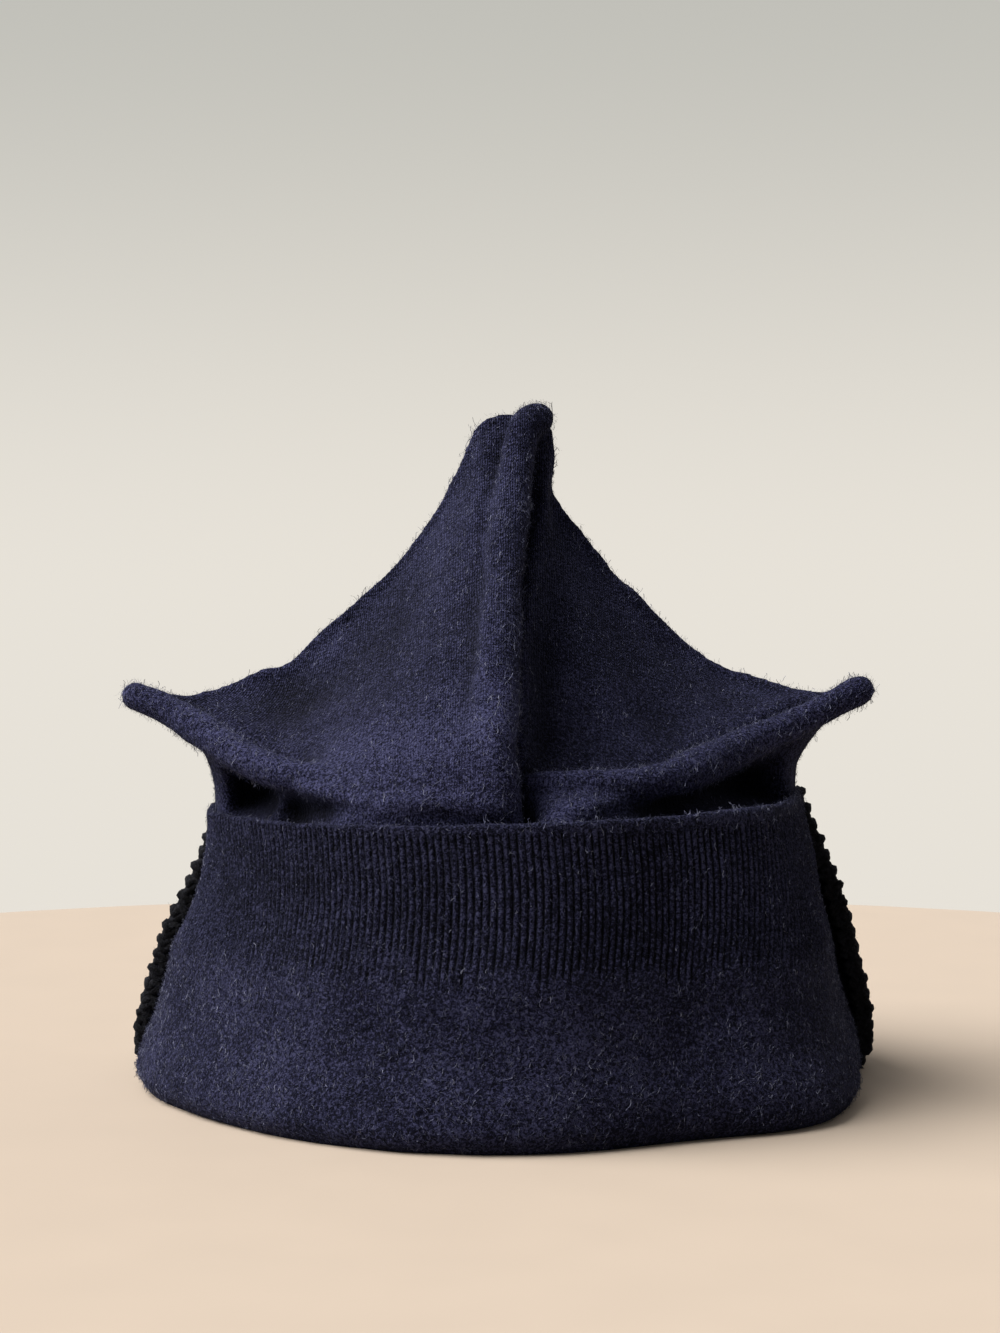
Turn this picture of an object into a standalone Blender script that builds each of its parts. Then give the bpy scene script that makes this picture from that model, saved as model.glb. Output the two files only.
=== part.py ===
"""Felted knit hat: a crown drawn up into a peak and two side horns, and a turned-up cuff.

The hat stands on its rim. X runs to the right seen from the front, Y to the back, Z up,
and the origin is on the surface that it stands on, under the middle of the rim.
Azimuth is counted in degrees from the front, positive to the right.
"""

import math

import bmesh
import bpy
import numpy as np
from mathutils import Matrix
from mathutils.bvhtree import BVHTree

# Sizes that can be set by themselves, in metres
RIM_RADIUS = 0.0985
CUFF_HEIGHT = 0.0750
CUFF_TILT = 0.0022
CROWN_RISE = 0.1000
HORN_REACH = 0.1000
CROWN_WALL = 0.0030
FRONT_CUFF_WALL = 0.0024
BACK_CUFF_WALL = 0.0048
FOLD_THICKNESS = 0.0032
FOLD_ROUNDING = 0.0012
FOLD_REACH = 0.0015
RIDGE_RADIUS = 0.0048
CLEARANCE = 0.0005

# Depths of the soft forms, in metres
SLACK = 0.0010
BACK_SAG = 0.0060
CAVITY_SHARE = 0.74
GARTER_RELIEF = 0.0009
GARTER_PITCH = 0.0042

# Where the front cuff ends at each side, in degrees from the front
FRONT_CUFF_HALF_SPAN = 97.0

# Shares of the cuff's height at which the crown's outer side and the cuffs' inner side have
# their rings. The last one of the crown is its waist
SHARED_RINGS = (0.14, 0.28, 0.42, 0.58, 0.74, 0.90)

# Numbers of facets
CROWN_COLUMNS = 76
CAVITY_COLUMNS = 48
CUFF_STEPS = 40
BACK_STEPS = 24
RIDGE_SIDES = 12
RIDGE_RINGS = 18

# Outline of the cuffs: share of the cuff's height, then the outer radius of the front and the
# back cuff and the lean to the right, as shares of the rim's radius
CUFF_SECTIONS = (
    (0.00, 0.968, 1.015, 0.000),
    (0.04, 0.993, 1.040, 0.000),
    (0.12, 0.990, 1.052, 0.002),
    (0.25, 0.952, 1.038, 0.006),
    (0.40, 0.918, 1.006, 0.009),
    (0.52, 0.901, 0.980, 0.012),
    (0.65, 0.866, 0.938, 0.020),
    (0.80, 0.837, 0.888, 0.022),
    (0.92, 0.820, 0.852, 0.016),
    (1.00, 0.812, 0.833, 0.010),
)

# Soft corners and flats of the rim's outline: azimuth and half width in degrees, and rise as a
# share of the rim's radius
PLAN_FORMS = (
    (-2.0, 13.0, 0.010),
    (-52.0, 22.0, -0.048),
    (27.0, 14.0, -0.038),
    (50.0, 12.0, 0.034),
    (79.0, 9.0, -0.020),
    (180.0, 50.0, -0.036),
)

# The crown is one knit with the cuffs, so its spread follows the rim's radius, as this share of
# it. Only its horns are longer or shorter by themselves, from this share of the spread outwards
CROWN_SPREAD_SHARE = 1.0152284
HORN_ROOT_SHARE = 0.62

# Guide lines of the crown, each from the left horn by the front or the back to the right horn.
# Columns: turn from -1 at the left horn to 1 at the right, then reach and depth as shares of
# the crown's spread, and rise above the cuff as a share of the crown's
#
# The line where the front and the back close, over the peak
CLOSING_LINE = (
    (-1.00, -0.930, -0.120, 0.280),
    (-0.92, -0.840, -0.100, 0.276),
    (-0.86, -0.780, -0.050, 0.282),
    (-0.78, -0.720, -0.020, 0.305),
    (-0.68, -0.655, 0.000, 0.335),
    (-0.56, -0.560, 0.010, 0.360),
    (-0.46, -0.463, 0.020, 0.457),
    (-0.36, -0.355, 0.030, 0.549),
    (-0.27, -0.265, 0.035, 0.640),
    (-0.19, -0.185, 0.035, 0.747),
    (-0.12, -0.110, 0.035, 0.865),
    (-0.06, -0.055, 0.035, 0.975),
    (-0.02, -0.015, 0.035, 1.000),
    (0.03, 0.050, 0.040, 1.015),
    (0.07, 0.106, 0.045, 1.000),
    (0.11, 0.128, 0.050, 0.920),
    (0.15, 0.130, 0.050, 0.835),
    (0.20, 0.195, 0.045, 0.720),
    (0.27, 0.275, 0.040, 0.615),
    (0.36, 0.365, 0.030, 0.526),
    (0.46, 0.465, 0.020, 0.425),
    (0.56, 0.570, 0.010, 0.350),
    (0.68, 0.655, 0.000, 0.325),
    (0.78, 0.725, -0.020, 0.305),
    (0.86, 0.785, -0.050, 0.285),
    (0.92, 0.840, -0.100, 0.285),
    (1.00, 0.920, -0.120, 0.295),
)

# The middle of the two front faces
FACE_LINE = (
    (-1.00, -0.925, -0.122, 0.275),
    (-0.90, -0.820, -0.105, 0.270),
    (-0.80, -0.725, -0.085, 0.265),
    (-0.68, -0.640, -0.100, 0.250),
    (-0.56, -0.540, -0.130, 0.250),
    (-0.44, -0.430, -0.170, 0.300),
    (-0.32, -0.310, -0.215, 0.380),
    (-0.20, -0.195, -0.265, 0.470),
    (-0.10, -0.095, -0.300, 0.560),
    (-0.05, -0.045, -0.325, 0.600),
    (0.00, 0.010, -0.290, 0.610),
    (0.04, 0.055, -0.225, 0.600),
    (0.09, 0.095, -0.190, 0.530),
    (0.18, 0.190, -0.195, 0.440),
    (0.30, 0.310, -0.190, 0.335),
    (0.44, 0.440, -0.170, 0.270),
    (0.58, 0.560, -0.130, 0.255),
    (0.72, 0.660, -0.095, 0.265),
    (0.86, 0.780, -0.105, 0.280),
    (1.00, 0.915, -0.122, 0.290),
)

# The soft crease above the horns' rolls and the front bulge
CREASE_LINE = (
    (-1.00, -0.920, -0.124, 0.270),
    (-0.92, -0.840, -0.135, 0.262),
    (-0.82, -0.720, -0.210, 0.210),
    (-0.70, -0.605, -0.320, 0.140),
    (-0.57, -0.510, -0.430, 0.120),
    (-0.42, -0.377, -0.525, 0.150),
    (-0.27, -0.250, -0.590, 0.185),
    (-0.13, -0.115, -0.615, 0.225),
    (-0.05, -0.050, -0.620, 0.240),
    (0.00, 0.000, -0.585, 0.245),
    (0.04, 0.045, -0.490, 0.215),
    (0.09, 0.085, -0.450, 0.165),
    (0.17, 0.150, -0.455, 0.130),
    (0.30, 0.260, -0.450, 0.110),
    (0.44, 0.370, -0.410, 0.105),
    (0.58, 0.500, -0.310, 0.150),
    (0.72, 0.640, -0.200, 0.215),
    (0.86, 0.780, -0.125, 0.268),
    (1.00, 0.910, -0.124, 0.285),
)

# The crest of the horns' rolls and of the front bulge
CREST_LINE = (
    (-1.00, -0.915, -0.126, 0.262),
    (-0.93, -0.850, -0.170, 0.232),
    (-0.84, -0.750, -0.270, 0.175),
    (-0.72, -0.636, -0.390, 0.118),
    (-0.58, -0.500, -0.540, 0.070),
    (-0.42, -0.345, -0.655, 0.065),
    (-0.25, -0.187, -0.725, 0.072),
    (-0.12, -0.080, -0.745, 0.070),
    (-0.04, -0.030, -0.750, 0.065),
    (0.01, 0.010, -0.740, 0.055),
    (0.05, 0.055, -0.670, 0.045),
    (0.10, 0.095, -0.650, 0.050),
    (0.20, 0.180, -0.650, 0.055),
    (0.32, 0.280, -0.605, 0.060),
    (0.45, 0.387, -0.520, 0.073),
    (0.57, 0.494, -0.420, 0.107),
    (0.72, 0.633, -0.280, 0.158),
    (0.86, 0.790, -0.180, 0.228),
    (1.00, 0.905, -0.126, 0.275),
)

# The front wall between the cuff and the crest, with its hollows under the two horns
HOLLOW_LINE = (
    (-1.00, -0.785, -0.020, 0.110),
    (-0.92, -0.760, -0.130, 0.085),
    (-0.82, -0.670, -0.250, 0.060),
    (-0.72, -0.590, -0.350, 0.040),
    (-0.64, -0.575, -0.440, 0.020),
    (-0.56, -0.475, -0.480, 0.010),
    (-0.44, -0.375, -0.640, 0.010),
    (-0.20, -0.160, -0.735, 0.010),
    (0.00, 0.000, -0.750, 0.000),
    (0.20, 0.175, -0.710, 0.000),
    (0.36, 0.300, -0.620, 0.000),
    (0.50, 0.400, -0.500, 0.020),
    (0.65, 0.500, -0.360, 0.050),
    (0.80, 0.630, -0.220, 0.080),
    (0.92, 0.755, -0.100, 0.105),
    (1.00, 0.798, -0.020, 0.110),
)

# The plain back wall above the cuff
BACK_LINE = (
    (-1.00, -0.785, -0.020, 0.110),
    (-0.80, -0.715, 0.235, 0.110),
    (-0.50, -0.530, 0.515, 0.110),
    (0.00, 0.000, 0.710, 0.110),
    (0.50, 0.530, 0.515, 0.110),
    (0.80, 0.720, 0.235, 0.110),
    (1.00, 0.798, -0.020, 0.110),
)

# Middle lines of the three rolled ridges. Columns: share of the way, reach, depth and rise as
# above, and thickness as a share of the ridges' radius
PEAK_RIDGE = (
    (0.00, 0.010, -0.705, -0.020, 1.00),
    (0.08, -0.005, -0.685, 0.080, 1.05),
    (0.18, -0.020, -0.650, 0.160, 1.12),
    (0.28, -0.018, -0.575, 0.260, 1.15),
    (0.40, -0.012, -0.468, 0.390, 1.15),
    (0.55, -0.002, -0.340, 0.545, 1.10),
    (0.70, 0.014, -0.215, 0.705, 1.08),
    (0.84, 0.032, -0.105, 0.850, 1.00),
    (0.93, 0.049, -0.050, 0.950, 0.95),
    (0.97, 0.066, -0.030, 0.998, 0.95),
    (1.00, 0.094, -0.010, 1.015, 0.93),
)
LEFT_RIDGE = (
    (0.00, -0.440, -0.500, 0.080, 0.95),
    (0.20, -0.540, -0.450, 0.095, 1.00),
    (0.40, -0.636, -0.385, 0.124, 1.00),
    (0.62, -0.750, -0.280, 0.178, 0.97),
    (0.80, -0.850, -0.185, 0.235, 0.88),
    (1.00, -0.965, -0.125, 0.278, 0.82),
)
RIGHT_RIDGE = (
    (0.00, 0.250, -0.555, 0.055, 0.95),
    (0.20, 0.387, -0.500, 0.075, 0.98),
    (0.38, 0.494, -0.415, 0.110, 1.00),
    (0.60, 0.633, -0.285, 0.160, 0.98),
    (0.80, 0.795, -0.175, 0.230, 0.88),
    (1.00, 0.935, -0.120, 0.295, 0.84),
)

# Moves everything so that the origin is under the middle of the whole outline, as shares of the
# rim's radius
MIDDLE_SHIFT_SHARES = (-0.0025381, -0.0055838, 0.0)

NAVY = (0.018, 0.020, 0.045, 1.0)
NAVY_RIB = (0.016, 0.018, 0.040, 1.0)
BLACK = (0.006, 0.006, 0.010, 1.0)


def clear_scene():
    for found in list(bpy.data.objects):
        bpy.data.objects.remove(found, do_unlink=True)


def wool(name, colour, roughness):
    """A plain matt wool."""
    material = bpy.data.materials.new(name)
    material.use_nodes = True
    shader = material.node_tree.nodes["Principled BSDF"]
    shader.inputs["Base Color"].default_value = colour
    shader.inputs["Roughness"].default_value = roughness
    return material


def curve_weights(key, at):
    """Row before each place on a smooth curve, and the weights of its ends and their slopes."""
    left = np.clip(np.searchsorted(key, at, side="right") - 1, 0, len(key) - 2)
    step = key[left + 1] - key[left]
    t = (at - key[left]) / step
    weights = (
        2 * t**3 - 3 * t**2 + 1,
        (t**3 - 2 * t**2 + t) * step,
        3 * t**2 - 2 * t**3,
        (t**3 - t**2) * step,
    )
    return left, [weight[..., None] for weight in weights]


def smooth(table, at):
    """The table's later columns at `at` in its first one, on a smooth curve through its rows."""
    rows = np.array(table, float)
    key, values = rows[:, 0], rows[:, 1:]
    slopes = np.gradient(values, key, axis=0)
    left, weights = curve_weights(key, np.asarray(at, float))
    ends = (values[left], slopes[left], values[left + 1], slopes[left + 1])
    return sum(weight * end for weight, end in zip(weights, ends))


def across(key, lines, at):
    """Points on smooth curves across several lines, at a place on each of their columns."""
    values = np.stack(lines)
    key = np.array(key, float)
    slopes = np.gradient(values, key, axis=0)
    left, weights = curve_weights(key, at)
    column = np.arange(values.shape[1])
    ends = (
        values[left, column],
        slopes[left, column],
        values[left + 1, column],
        slopes[left + 1, column],
    )
    return sum(weight * end for weight, end in zip(weights, ends))


def bell(distance, half_width):
    """1 in the middle, falling smoothly past the half width."""
    return np.exp(-((distance / half_width) ** 2))


def plan_share(azimuth):
    """How far the rim's outline stands out or in at an azimuth, as a factor on its radius."""
    share = np.ones_like(azimuth)
    for centre, half_width, rise in PLAN_FORMS:
        apart = (azimuth - centre + 180.0) % 360.0 - 180.0
        share += rise * bell(apart, half_width)
    return share


def cuff_radius(azimuth, height_share, cuff):
    """Outer radius of the front (0) or the back (1) cuff."""
    section = smooth(CUFF_SECTIONS, np.broadcast_to(height_share, azimuth.shape))
    form = 1.0 + (plan_share(azimuth) - 1.0) * (1.0 - 0.55 * height_share)
    return RIM_RADIUS * section[..., cuff] * form


def cuff_lean(height_share, like):
    """How far a section of the cuffs lies to the right of the rim's middle."""
    return RIM_RADIUS * smooth(CUFF_SECTIONS, np.broadcast_to(height_share, like.shape))[..., 2]


def cuff_top(azimuth):
    """Height of the cuff's top edge, which tilts up to the right."""
    return CUFF_HEIGHT + CUFF_TILT * np.sin(np.radians(azimuth))


def on_plan(azimuth, radius, lean, height):
    """Points at an azimuth, a radius and a height."""
    turn = np.radians(azimuth)
    return np.stack([lean + radius * np.sin(turn), -radius * np.cos(turn), height], axis=-1)


def inner_radius(azimuth, height_share):
    """Radius of the crown's outer side where it stands inside the cuffs."""
    front = cuff_radius(azimuth, height_share, 0) - FRONT_CUFF_WALL
    back = cuff_radius(azimuth, height_share, 1) - BACK_CUFF_WALL
    free = CLEARANCE + SLACK * height_share
    return np.minimum(front, back) - free


def wall_guide(table, turn):
    """Points of a guide line of the crown's wall at a turn from -1 to 1."""
    reach, depth, rise = np.moveaxis(smooth(table, turn), -1, 0)[:3]
    spread = CROWN_SPREAD_SHARE * RIM_RADIUS
    return np.stack([spread * reach, spread * depth, CUFF_HEIGHT + CROWN_RISE * rise], axis=-1)


def guide(table, turn):
    """Points of a guide line that runs out to the horns, at a turn from -1 to 1."""
    points = wall_guide(table, turn)
    spread = CROWN_SPREAD_SHARE * RIM_RADIUS
    reach = points[..., 0] / spread
    along_horn = np.clip((np.abs(reach) - HORN_ROOT_SHARE) / (1.0 - HORN_ROOT_SHARE), 0.0, 1.0)
    points[..., 0] += (HORN_REACH - spread) * along_horn * np.sign(reach)
    return points


def body_point(azimuth, share):
    """A point of the crown's wall behind the cuffs, at a share of its way up to the waist."""
    foot = (FOLD_THICKNESS + CLEARANCE) / CUFF_HEIGHT
    height_share = foot + (SHARED_RINGS[-1] - foot) * share
    height = height_share * (CUFF_HEIGHT + (cuff_top(azimuth) - CUFF_HEIGHT) * share)
    radius = inner_radius(azimuth, height_share)
    return on_plan(azimuth, radius, cuff_lean(height_share, azimuth), height)


def body_levels():
    """Levels of the crown's rings behind the cuffs, at the same heights as the cuffs' rings."""
    foot = (FOLD_THICKNESS + CLEARANCE) / CUFF_HEIGHT
    return [0.0] + [(share - foot) / (SHARED_RINGS[-1] - foot) for share in SHARED_RINGS]


def crown_point(turn, back, level):
    """Points of the crown's outer side. Level 0 to 1 is behind the cuffs, and from 1 at the
    waist it goes over the hollows, the crest at 2, the crease and the faces to the closing
    line at 3."""
    azimuth = np.where(back, 180.0 - 90.0 * turn, 90.0 * turn)
    azimuth = (azimuth + 180.0) % 360.0 - 180.0
    below = body_point(azimuth, np.clip(level, 0.0, 1.0))
    waist = body_point(azimuth, np.ones_like(turn))
    closing = guide(CLOSING_LINE, turn)
    front = [waist, wall_guide(HOLLOW_LINE, turn), guide(CREST_LINE, turn)]
    front += [guide(CREASE_LINE, turn), guide(FACE_LINE, turn), closing]

    wall = wall_guide(BACK_LINE, turn)
    rear = [waist, wall]
    for share in (0.25, 0.50, 0.75):
        point = wall + (closing - wall) * share
        point[..., 1] -= BACK_SAG * math.sin(math.pi * share) * (1.0 - np.abs(turn) ** 4)
        rear.append(point)
    rear.append(closing)

    lines = [np.where(back[..., None], b, f) for f, b in zip(front, rear)]
    above = across((1.0, 1.5, 2.0, 2.3, 2.65, 3.0), lines, np.clip(level, 1.0, 3.0))
    return np.where(level[..., None] <= 1.0, below, above)


def ring_turns(columns):
    """Turn of each column round the crown from the left side by the front, and whether it is
    on the back."""
    index = np.arange(columns)
    half = columns // 2
    back = index > half
    turn = np.where(back, 3.0 - 2.0 * index / half, -1.0 + 2.0 * index / half)
    return turn, back


def crown_rings(columns, levels):
    """Rings of points up the crown. Levels holds one row for each ring, with a value for each
    column or one for all."""
    turn, back = ring_turns(columns)
    return np.stack([crown_point(turn, back, np.broadcast_to(row, turn.shape)) for row in levels])


def closed_bag(name, rings, closing):
    """A solid bag of rings: its top is drawn together along the closing line, and its mouth is
    filled flat."""
    columns = rings.shape[1]
    half = columns // 2
    mesh = bmesh.new()
    rows = [[mesh.verts.new(point) for point in ring] for ring in rings]
    line = [mesh.verts.new(point) for point in closing]
    rows.append([line[k if k <= half else columns - k] for k in range(columns)])
    for low, high in zip(rows, rows[1:]):
        for k in range(columns):
            corners = [low[k], low[(k + 1) % columns], high[(k + 1) % columns], high[k]]
            mesh.faces.new(list(dict.fromkeys(corners)))
    mesh.faces.new(list(reversed(rows[0])))
    return finished(name, mesh)


def solid_stack(name, rings):
    """A solid from rings of equal length one above another, with flat ends."""
    mesh = bmesh.new()
    rows = [[mesh.verts.new(point) for point in ring] for ring in rings]
    count = len(rows[0])
    for low, high in zip(rows, rows[1:]):
        for k in range(count):
            n = (k + 1) % count
            mesh.faces.new([low[k], low[n], high[n], high[k]])
    mesh.faces.new(list(reversed(rows[0])))
    mesh.faces.new(rows[-1])
    return finished(name, mesh)


def finished(name, mesh):
    """The mesh as an object, shaded smooth, with its faces pointing out."""
    bmesh.ops.recalc_face_normals(mesh, faces=mesh.faces)
    data = bpy.data.meshes.new(name)
    mesh.to_mesh(data)
    mesh.free()
    data.shade_smooth()
    made = bpy.data.objects.new(name, data)
    bpy.context.scene.collection.objects.link(made)
    return made


def helper(made):
    """Keeps an object as a tool of a Boolean, out of the render."""
    made.hide_render = True
    made.display_type = "WIRE"
    return made


def boolean(made, operation, tool):
    cut = made.modifiers.new(f"{operation.lower()} {tool.name}", "BOOLEAN")
    cut.operation = operation
    cut.object = tool
    cut.solver = "EXACT"


def ridge(name, table):
    """A rolled seam ridge: a round roll along its middle line with round ends."""
    share = np.linspace(0.0, 1.0, RIDGE_RINGS)
    middle = guide(table, share)
    along = np.gradient(middle, axis=0)
    along /= np.linalg.norm(along, axis=1, keepdims=True)
    radius = RIDGE_RADIUS * smooth(table, share)[:, 3]
    rings = []
    for end, sign in ((0, -1.0), (-1, 1.0)):
        caps = []
        for lift in (0.95, 0.75, 0.40):
            size = radius[end] * math.sqrt(1.0 - lift**2)
            caps.append((middle[end] + sign * along[end] * radius[end] * lift, along[end], size))
        if end == 0:
            rings += caps
            rings += list(zip(middle, along, radius))
        else:
            rings += reversed(caps)
    mesh = bmesh.new()
    rows = []
    side = np.cross(along[0], (0.0, 0.0, 1.0))
    for centre, direction, size in rings:
        side = side - direction * np.dot(side, direction)
        side /= np.linalg.norm(side)
        up = np.cross(direction, side)
        turns = [2.0 * math.pi * k / RIDGE_SIDES for k in range(RIDGE_SIDES)]
        rows.append(
            [mesh.verts.new(centre + size * (math.cos(a) * side + math.sin(a) * up)) for a in turns]
        )
    for low, high in zip(rows, rows[1:]):
        for k in range(RIDGE_SIDES):
            n = (k + 1) % RIDGE_SIDES
            mesh.faces.new([low[k], low[n], high[n], high[k]])
    mesh.faces.new(rows[0])
    mesh.faces.new(rows[-1])
    return helper(finished(name, mesh))


def reaches(crown, heights, azimuths):
    """How far the crown's outer side stands from its axis, at each height and azimuth."""
    corners = [vertex.co for vertex in crown.data.vertices]
    tree = BVHTree.FromPolygons(corners, [face.vertices for face in crown.data.polygons])
    found = np.zeros((len(heights), len(azimuths)))
    for row, height in enumerate(heights):
        for column, azimuth in enumerate(azimuths):
            away = (math.sin(math.radians(azimuth)), -math.cos(math.radians(azimuth)), 0.0)
            found[row, column] = tree.ray_cast((0.0, 0.0, height), away)[3]
    return found


def crown_cavity(crown):
    """The space inside the crown: a wall's thickness or more in from its outer side, and clear
    of its folds, so that the ridges and the horns stay solid."""
    foot = FOLD_THICKNESS + CLEARANCE
    lower = np.linspace(foot + 0.1 * CROWN_WALL, SHARED_RINGS[-1] * CUFF_HEIGHT, 6)
    upper = np.linspace(CUFF_HEIGHT, CUFF_HEIGHT + CAVITY_SHARE * CROWN_RISE, 17)
    heights = np.concatenate([lower, upper])
    step = 360.0 / CAVITY_COLUMNS
    azimuths = np.arange(CAVITY_COLUMNS) * step
    around = [reaches(crown, heights, azimuths + turn * step) for turn in (-0.5, 0.0, 0.5)]
    rise = np.where(heights > CUFF_HEIGHT, CROWN_WALL, 0.0)
    around += [reaches(crown, heights + lift * rise, azimuths) for lift in (-0.6, 1.2)]
    radius = np.min(around, axis=0) - CROWN_WALL
    rings = [on_plan(azimuths, row, 0.0, np.full_like(row, z)) for row, z in zip(radius, heights)]
    rings[0][:, 2] = -CUFF_HEIGHT / 4
    rings.insert(1, on_plan(azimuths, radius[0], 0.0, np.full_like(radius[0], heights[0])))
    return helper(solid_stack("crown_cavity", rings))


def make_crown(material):
    """The crown: one felted bag with its three rolled ridges, hollow and open below."""
    levels = body_levels() + [1.2, 1.4, 1.6, 1.8]
    levels += [2.0, 2.1, 2.2, 2.3, 2.4, 2.5, 2.6, 2.7, 2.8, 2.88, 2.95]
    rings = crown_rings(CROWN_COLUMNS, levels)
    half = CROWN_COLUMNS // 2
    closing = guide(CLOSING_LINE, np.linspace(-1.0, 1.0, half + 1))
    crown = closed_bag("crown", rings, closing)
    for name, table in (
        ("peak_ridge", PEAK_RIDGE),
        ("left_ridge", LEFT_RIDGE),
        ("right_ridge", RIGHT_RIDGE),
    ):
        boolean(crown, "UNION", ridge(name, table))
    boolean(crown, "DIFFERENCE", crown_cavity(crown))
    crown.data.materials.append(material)
    return crown


def sweep(name, sections):
    """A solid from closed sections of equal length, side by side, with its two ends filled."""
    mesh = bmesh.new()
    rows = [[mesh.verts.new(point) for point in section] for section in sections]
    count = len(rows[0])
    for first, second in zip(rows, rows[1:]):
        for k in range(count):
            n = (k + 1) % count
            mesh.faces.new([first[k], first[n], second[n], second[k]])
    mesh.faces.new(rows[0])
    mesh.faces.new(rows[-1])
    return finished(name, mesh)


def cuff_section(azimuth, cuff, wall, outer_shares, relief):
    """The closed section of a cuff at one azimuth: up its outer side, over the top edge, down
    its inner side, and in under the crown's wall, which stands on the fold."""
    at = np.array([azimuth])
    top = float(cuff_top(at)[0])
    points = []

    def put(radius, height, share):
        lean = float(cuff_lean(share, at)[0])
        points.append(on_plan(at, np.array([radius]), lean, np.array([height]))[0])

    def outer(share):
        return float(cuff_radius(at, share, cuff)[0])

    body_in = float(inner_radius(at, (FOLD_THICKNESS + CLEARANCE) / CUFF_HEIGHT)[0])
    body_in -= CROWN_WALL + FOLD_REACH
    put(outer(0.0), 0.0, 0.0)
    for share, stand in zip(outer_shares, relief):
        put(outer(share) + stand, share * top, share)
    put(outer(1.0) - 0.30 * wall, top, 1.0)
    put(outer(1.0) - 0.75 * wall, top, 1.0)
    for share in reversed(SHARED_RINGS):
        put(outer(share) - wall, share * top, share)
    share = FOLD_THICKNESS / CUFF_HEIGHT
    put(outer(share) - wall, FOLD_THICKNESS, share)
    put(body_in, FOLD_THICKNESS, share)
    put(body_in, 0.5 * FOLD_THICKNESS, 0.5 * share)
    put(body_in + FOLD_ROUNDING, 0.0, 0.0)
    return points


def make_front_cuff(material):
    """The front cuff: the felted hem turned up, with its ribbed edge at the top."""
    azimuths = np.linspace(-FRONT_CUFF_HALF_SPAN, FRONT_CUFF_HALF_SPAN, CUFF_STEPS + 1)
    shares = [0.02, 0.06, 0.13, 0.22, 0.32, 0.42, 0.52, 0.62, 0.72, 0.82, 0.92, 0.985]
    sections = [
        cuff_section(azimuth, 0, FRONT_CUFF_WALL, shares, np.zeros(len(shares)))
        for azimuth in azimuths
    ]
    cuff = sweep("front_cuff", sections)
    cuff.data.materials.append(material)
    return cuff


def make_back_cuff(material):
    """The back cuff: a thick garter-stitch band, ridged all the way up."""
    gap = math.degrees(CLEARANCE / RIM_RADIUS)
    start = FRONT_CUFF_HALF_SPAN + 1.5 * gap
    azimuths = np.linspace(start, 360.0 - start, BACK_STEPS + 1)
    ridges = int(round(CUFF_HEIGHT / GARTER_PITCH))
    shares = np.linspace(0.5 / ridges, 1.0 - 0.5 / ridges, 2 * ridges - 1)
    relief = np.where(np.arange(len(shares)) % 2 == 0, 0.0, -GARTER_RELIEF)
    sections = [
        cuff_section(azimuth, 1, BACK_CUFF_WALL, shares, relief) for azimuth in azimuths
    ]
    cuff = sweep("back_cuff", sections)
    cuff.data.materials.append(material)
    return cuff


def main():
    clear_scene()
    make_crown(wool("felted wool", NAVY, 0.95))
    make_front_cuff(wool("felted rib", NAVY_RIB, 0.95))
    make_back_cuff(wool("garter wool", BLACK, 0.9))
    for made in bpy.data.objects:
        shift = [RIM_RADIUS * share for share in MIDDLE_SHIFT_SHARES]
        made.data.transform(Matrix.Translation(shift))


main()
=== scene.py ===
"""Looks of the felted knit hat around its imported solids: felt, ribs, garter stitches and fuzz.

Metres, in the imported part's frame. Azimuth is in degrees from the front, positive to the right.
"""

import math

import bmesh
import bpy
import numpy as np
from mathutils import Matrix, Vector, noise
from mathutils.bvhtree import BVHTree


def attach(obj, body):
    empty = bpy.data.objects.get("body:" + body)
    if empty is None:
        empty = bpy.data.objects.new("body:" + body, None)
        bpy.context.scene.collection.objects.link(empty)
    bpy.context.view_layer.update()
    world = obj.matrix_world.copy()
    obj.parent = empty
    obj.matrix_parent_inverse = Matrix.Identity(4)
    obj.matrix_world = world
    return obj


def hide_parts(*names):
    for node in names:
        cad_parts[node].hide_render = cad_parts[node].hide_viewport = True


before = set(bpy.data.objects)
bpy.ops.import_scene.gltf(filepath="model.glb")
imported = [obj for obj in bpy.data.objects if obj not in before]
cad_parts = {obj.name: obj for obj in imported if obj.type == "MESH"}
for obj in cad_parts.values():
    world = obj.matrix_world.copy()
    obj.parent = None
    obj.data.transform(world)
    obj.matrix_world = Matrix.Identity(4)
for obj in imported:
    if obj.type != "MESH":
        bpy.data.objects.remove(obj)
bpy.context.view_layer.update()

# Sizes of the solids that the pieces stand for
RIM_RADIUS = 0.0985
CUFF_HEIGHT = 0.0750
CUFF_TILT = 0.0022
CROWN_RISE = 0.1000
HORN_REACH = 0.1000
CROWN_WALL = 0.0030
FRONT_CUFF_WALL = 0.0024
BACK_CUFF_WALL = 0.0048
FOLD_THICKNESS = 0.0032
FOLD_REACH = 0.0015
RIDGE_RADIUS = 0.0048
CLEARANCE = 0.0005
SLACK = 0.0010
BACK_SAG = 0.0060
CAVITY_SHARE = 0.74
FRONT_CUFF_HALF_SPAN = 97.0
SHARED_RINGS = (0.14, 0.28, 0.42, 0.58, 0.74, 0.90)

# How finely each piece is made
CROWN_COLUMNS = 300
CAVITY_COLUMNS = 64
SKIN_FOOT = 0.82
SKIN_HEAD = 2.98
SKIN_RINGS = 96
RIDGE_SIDES = 24
RIDGE_RINGS = 90
FELT_VOXEL = 0.00112
RIB_COUNT = 150
POINTS_PER_RIB = 6
BACK_COLUMNS = 120
FRONT_ROWS = (46, 7)
BACK_ROWS = (40, 5)

# Knit, in metres
CROWN_WALE = 0.00125
CROWN_COURSE = 0.00105
RIB_FOOT = 0.0365
RIB_TOP = 0.0735
RIB_START = 0.006
RIB_END = 0.0012
GARTER_PITCH = 0.0041
LOWEST_ROW = 0.0032

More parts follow.
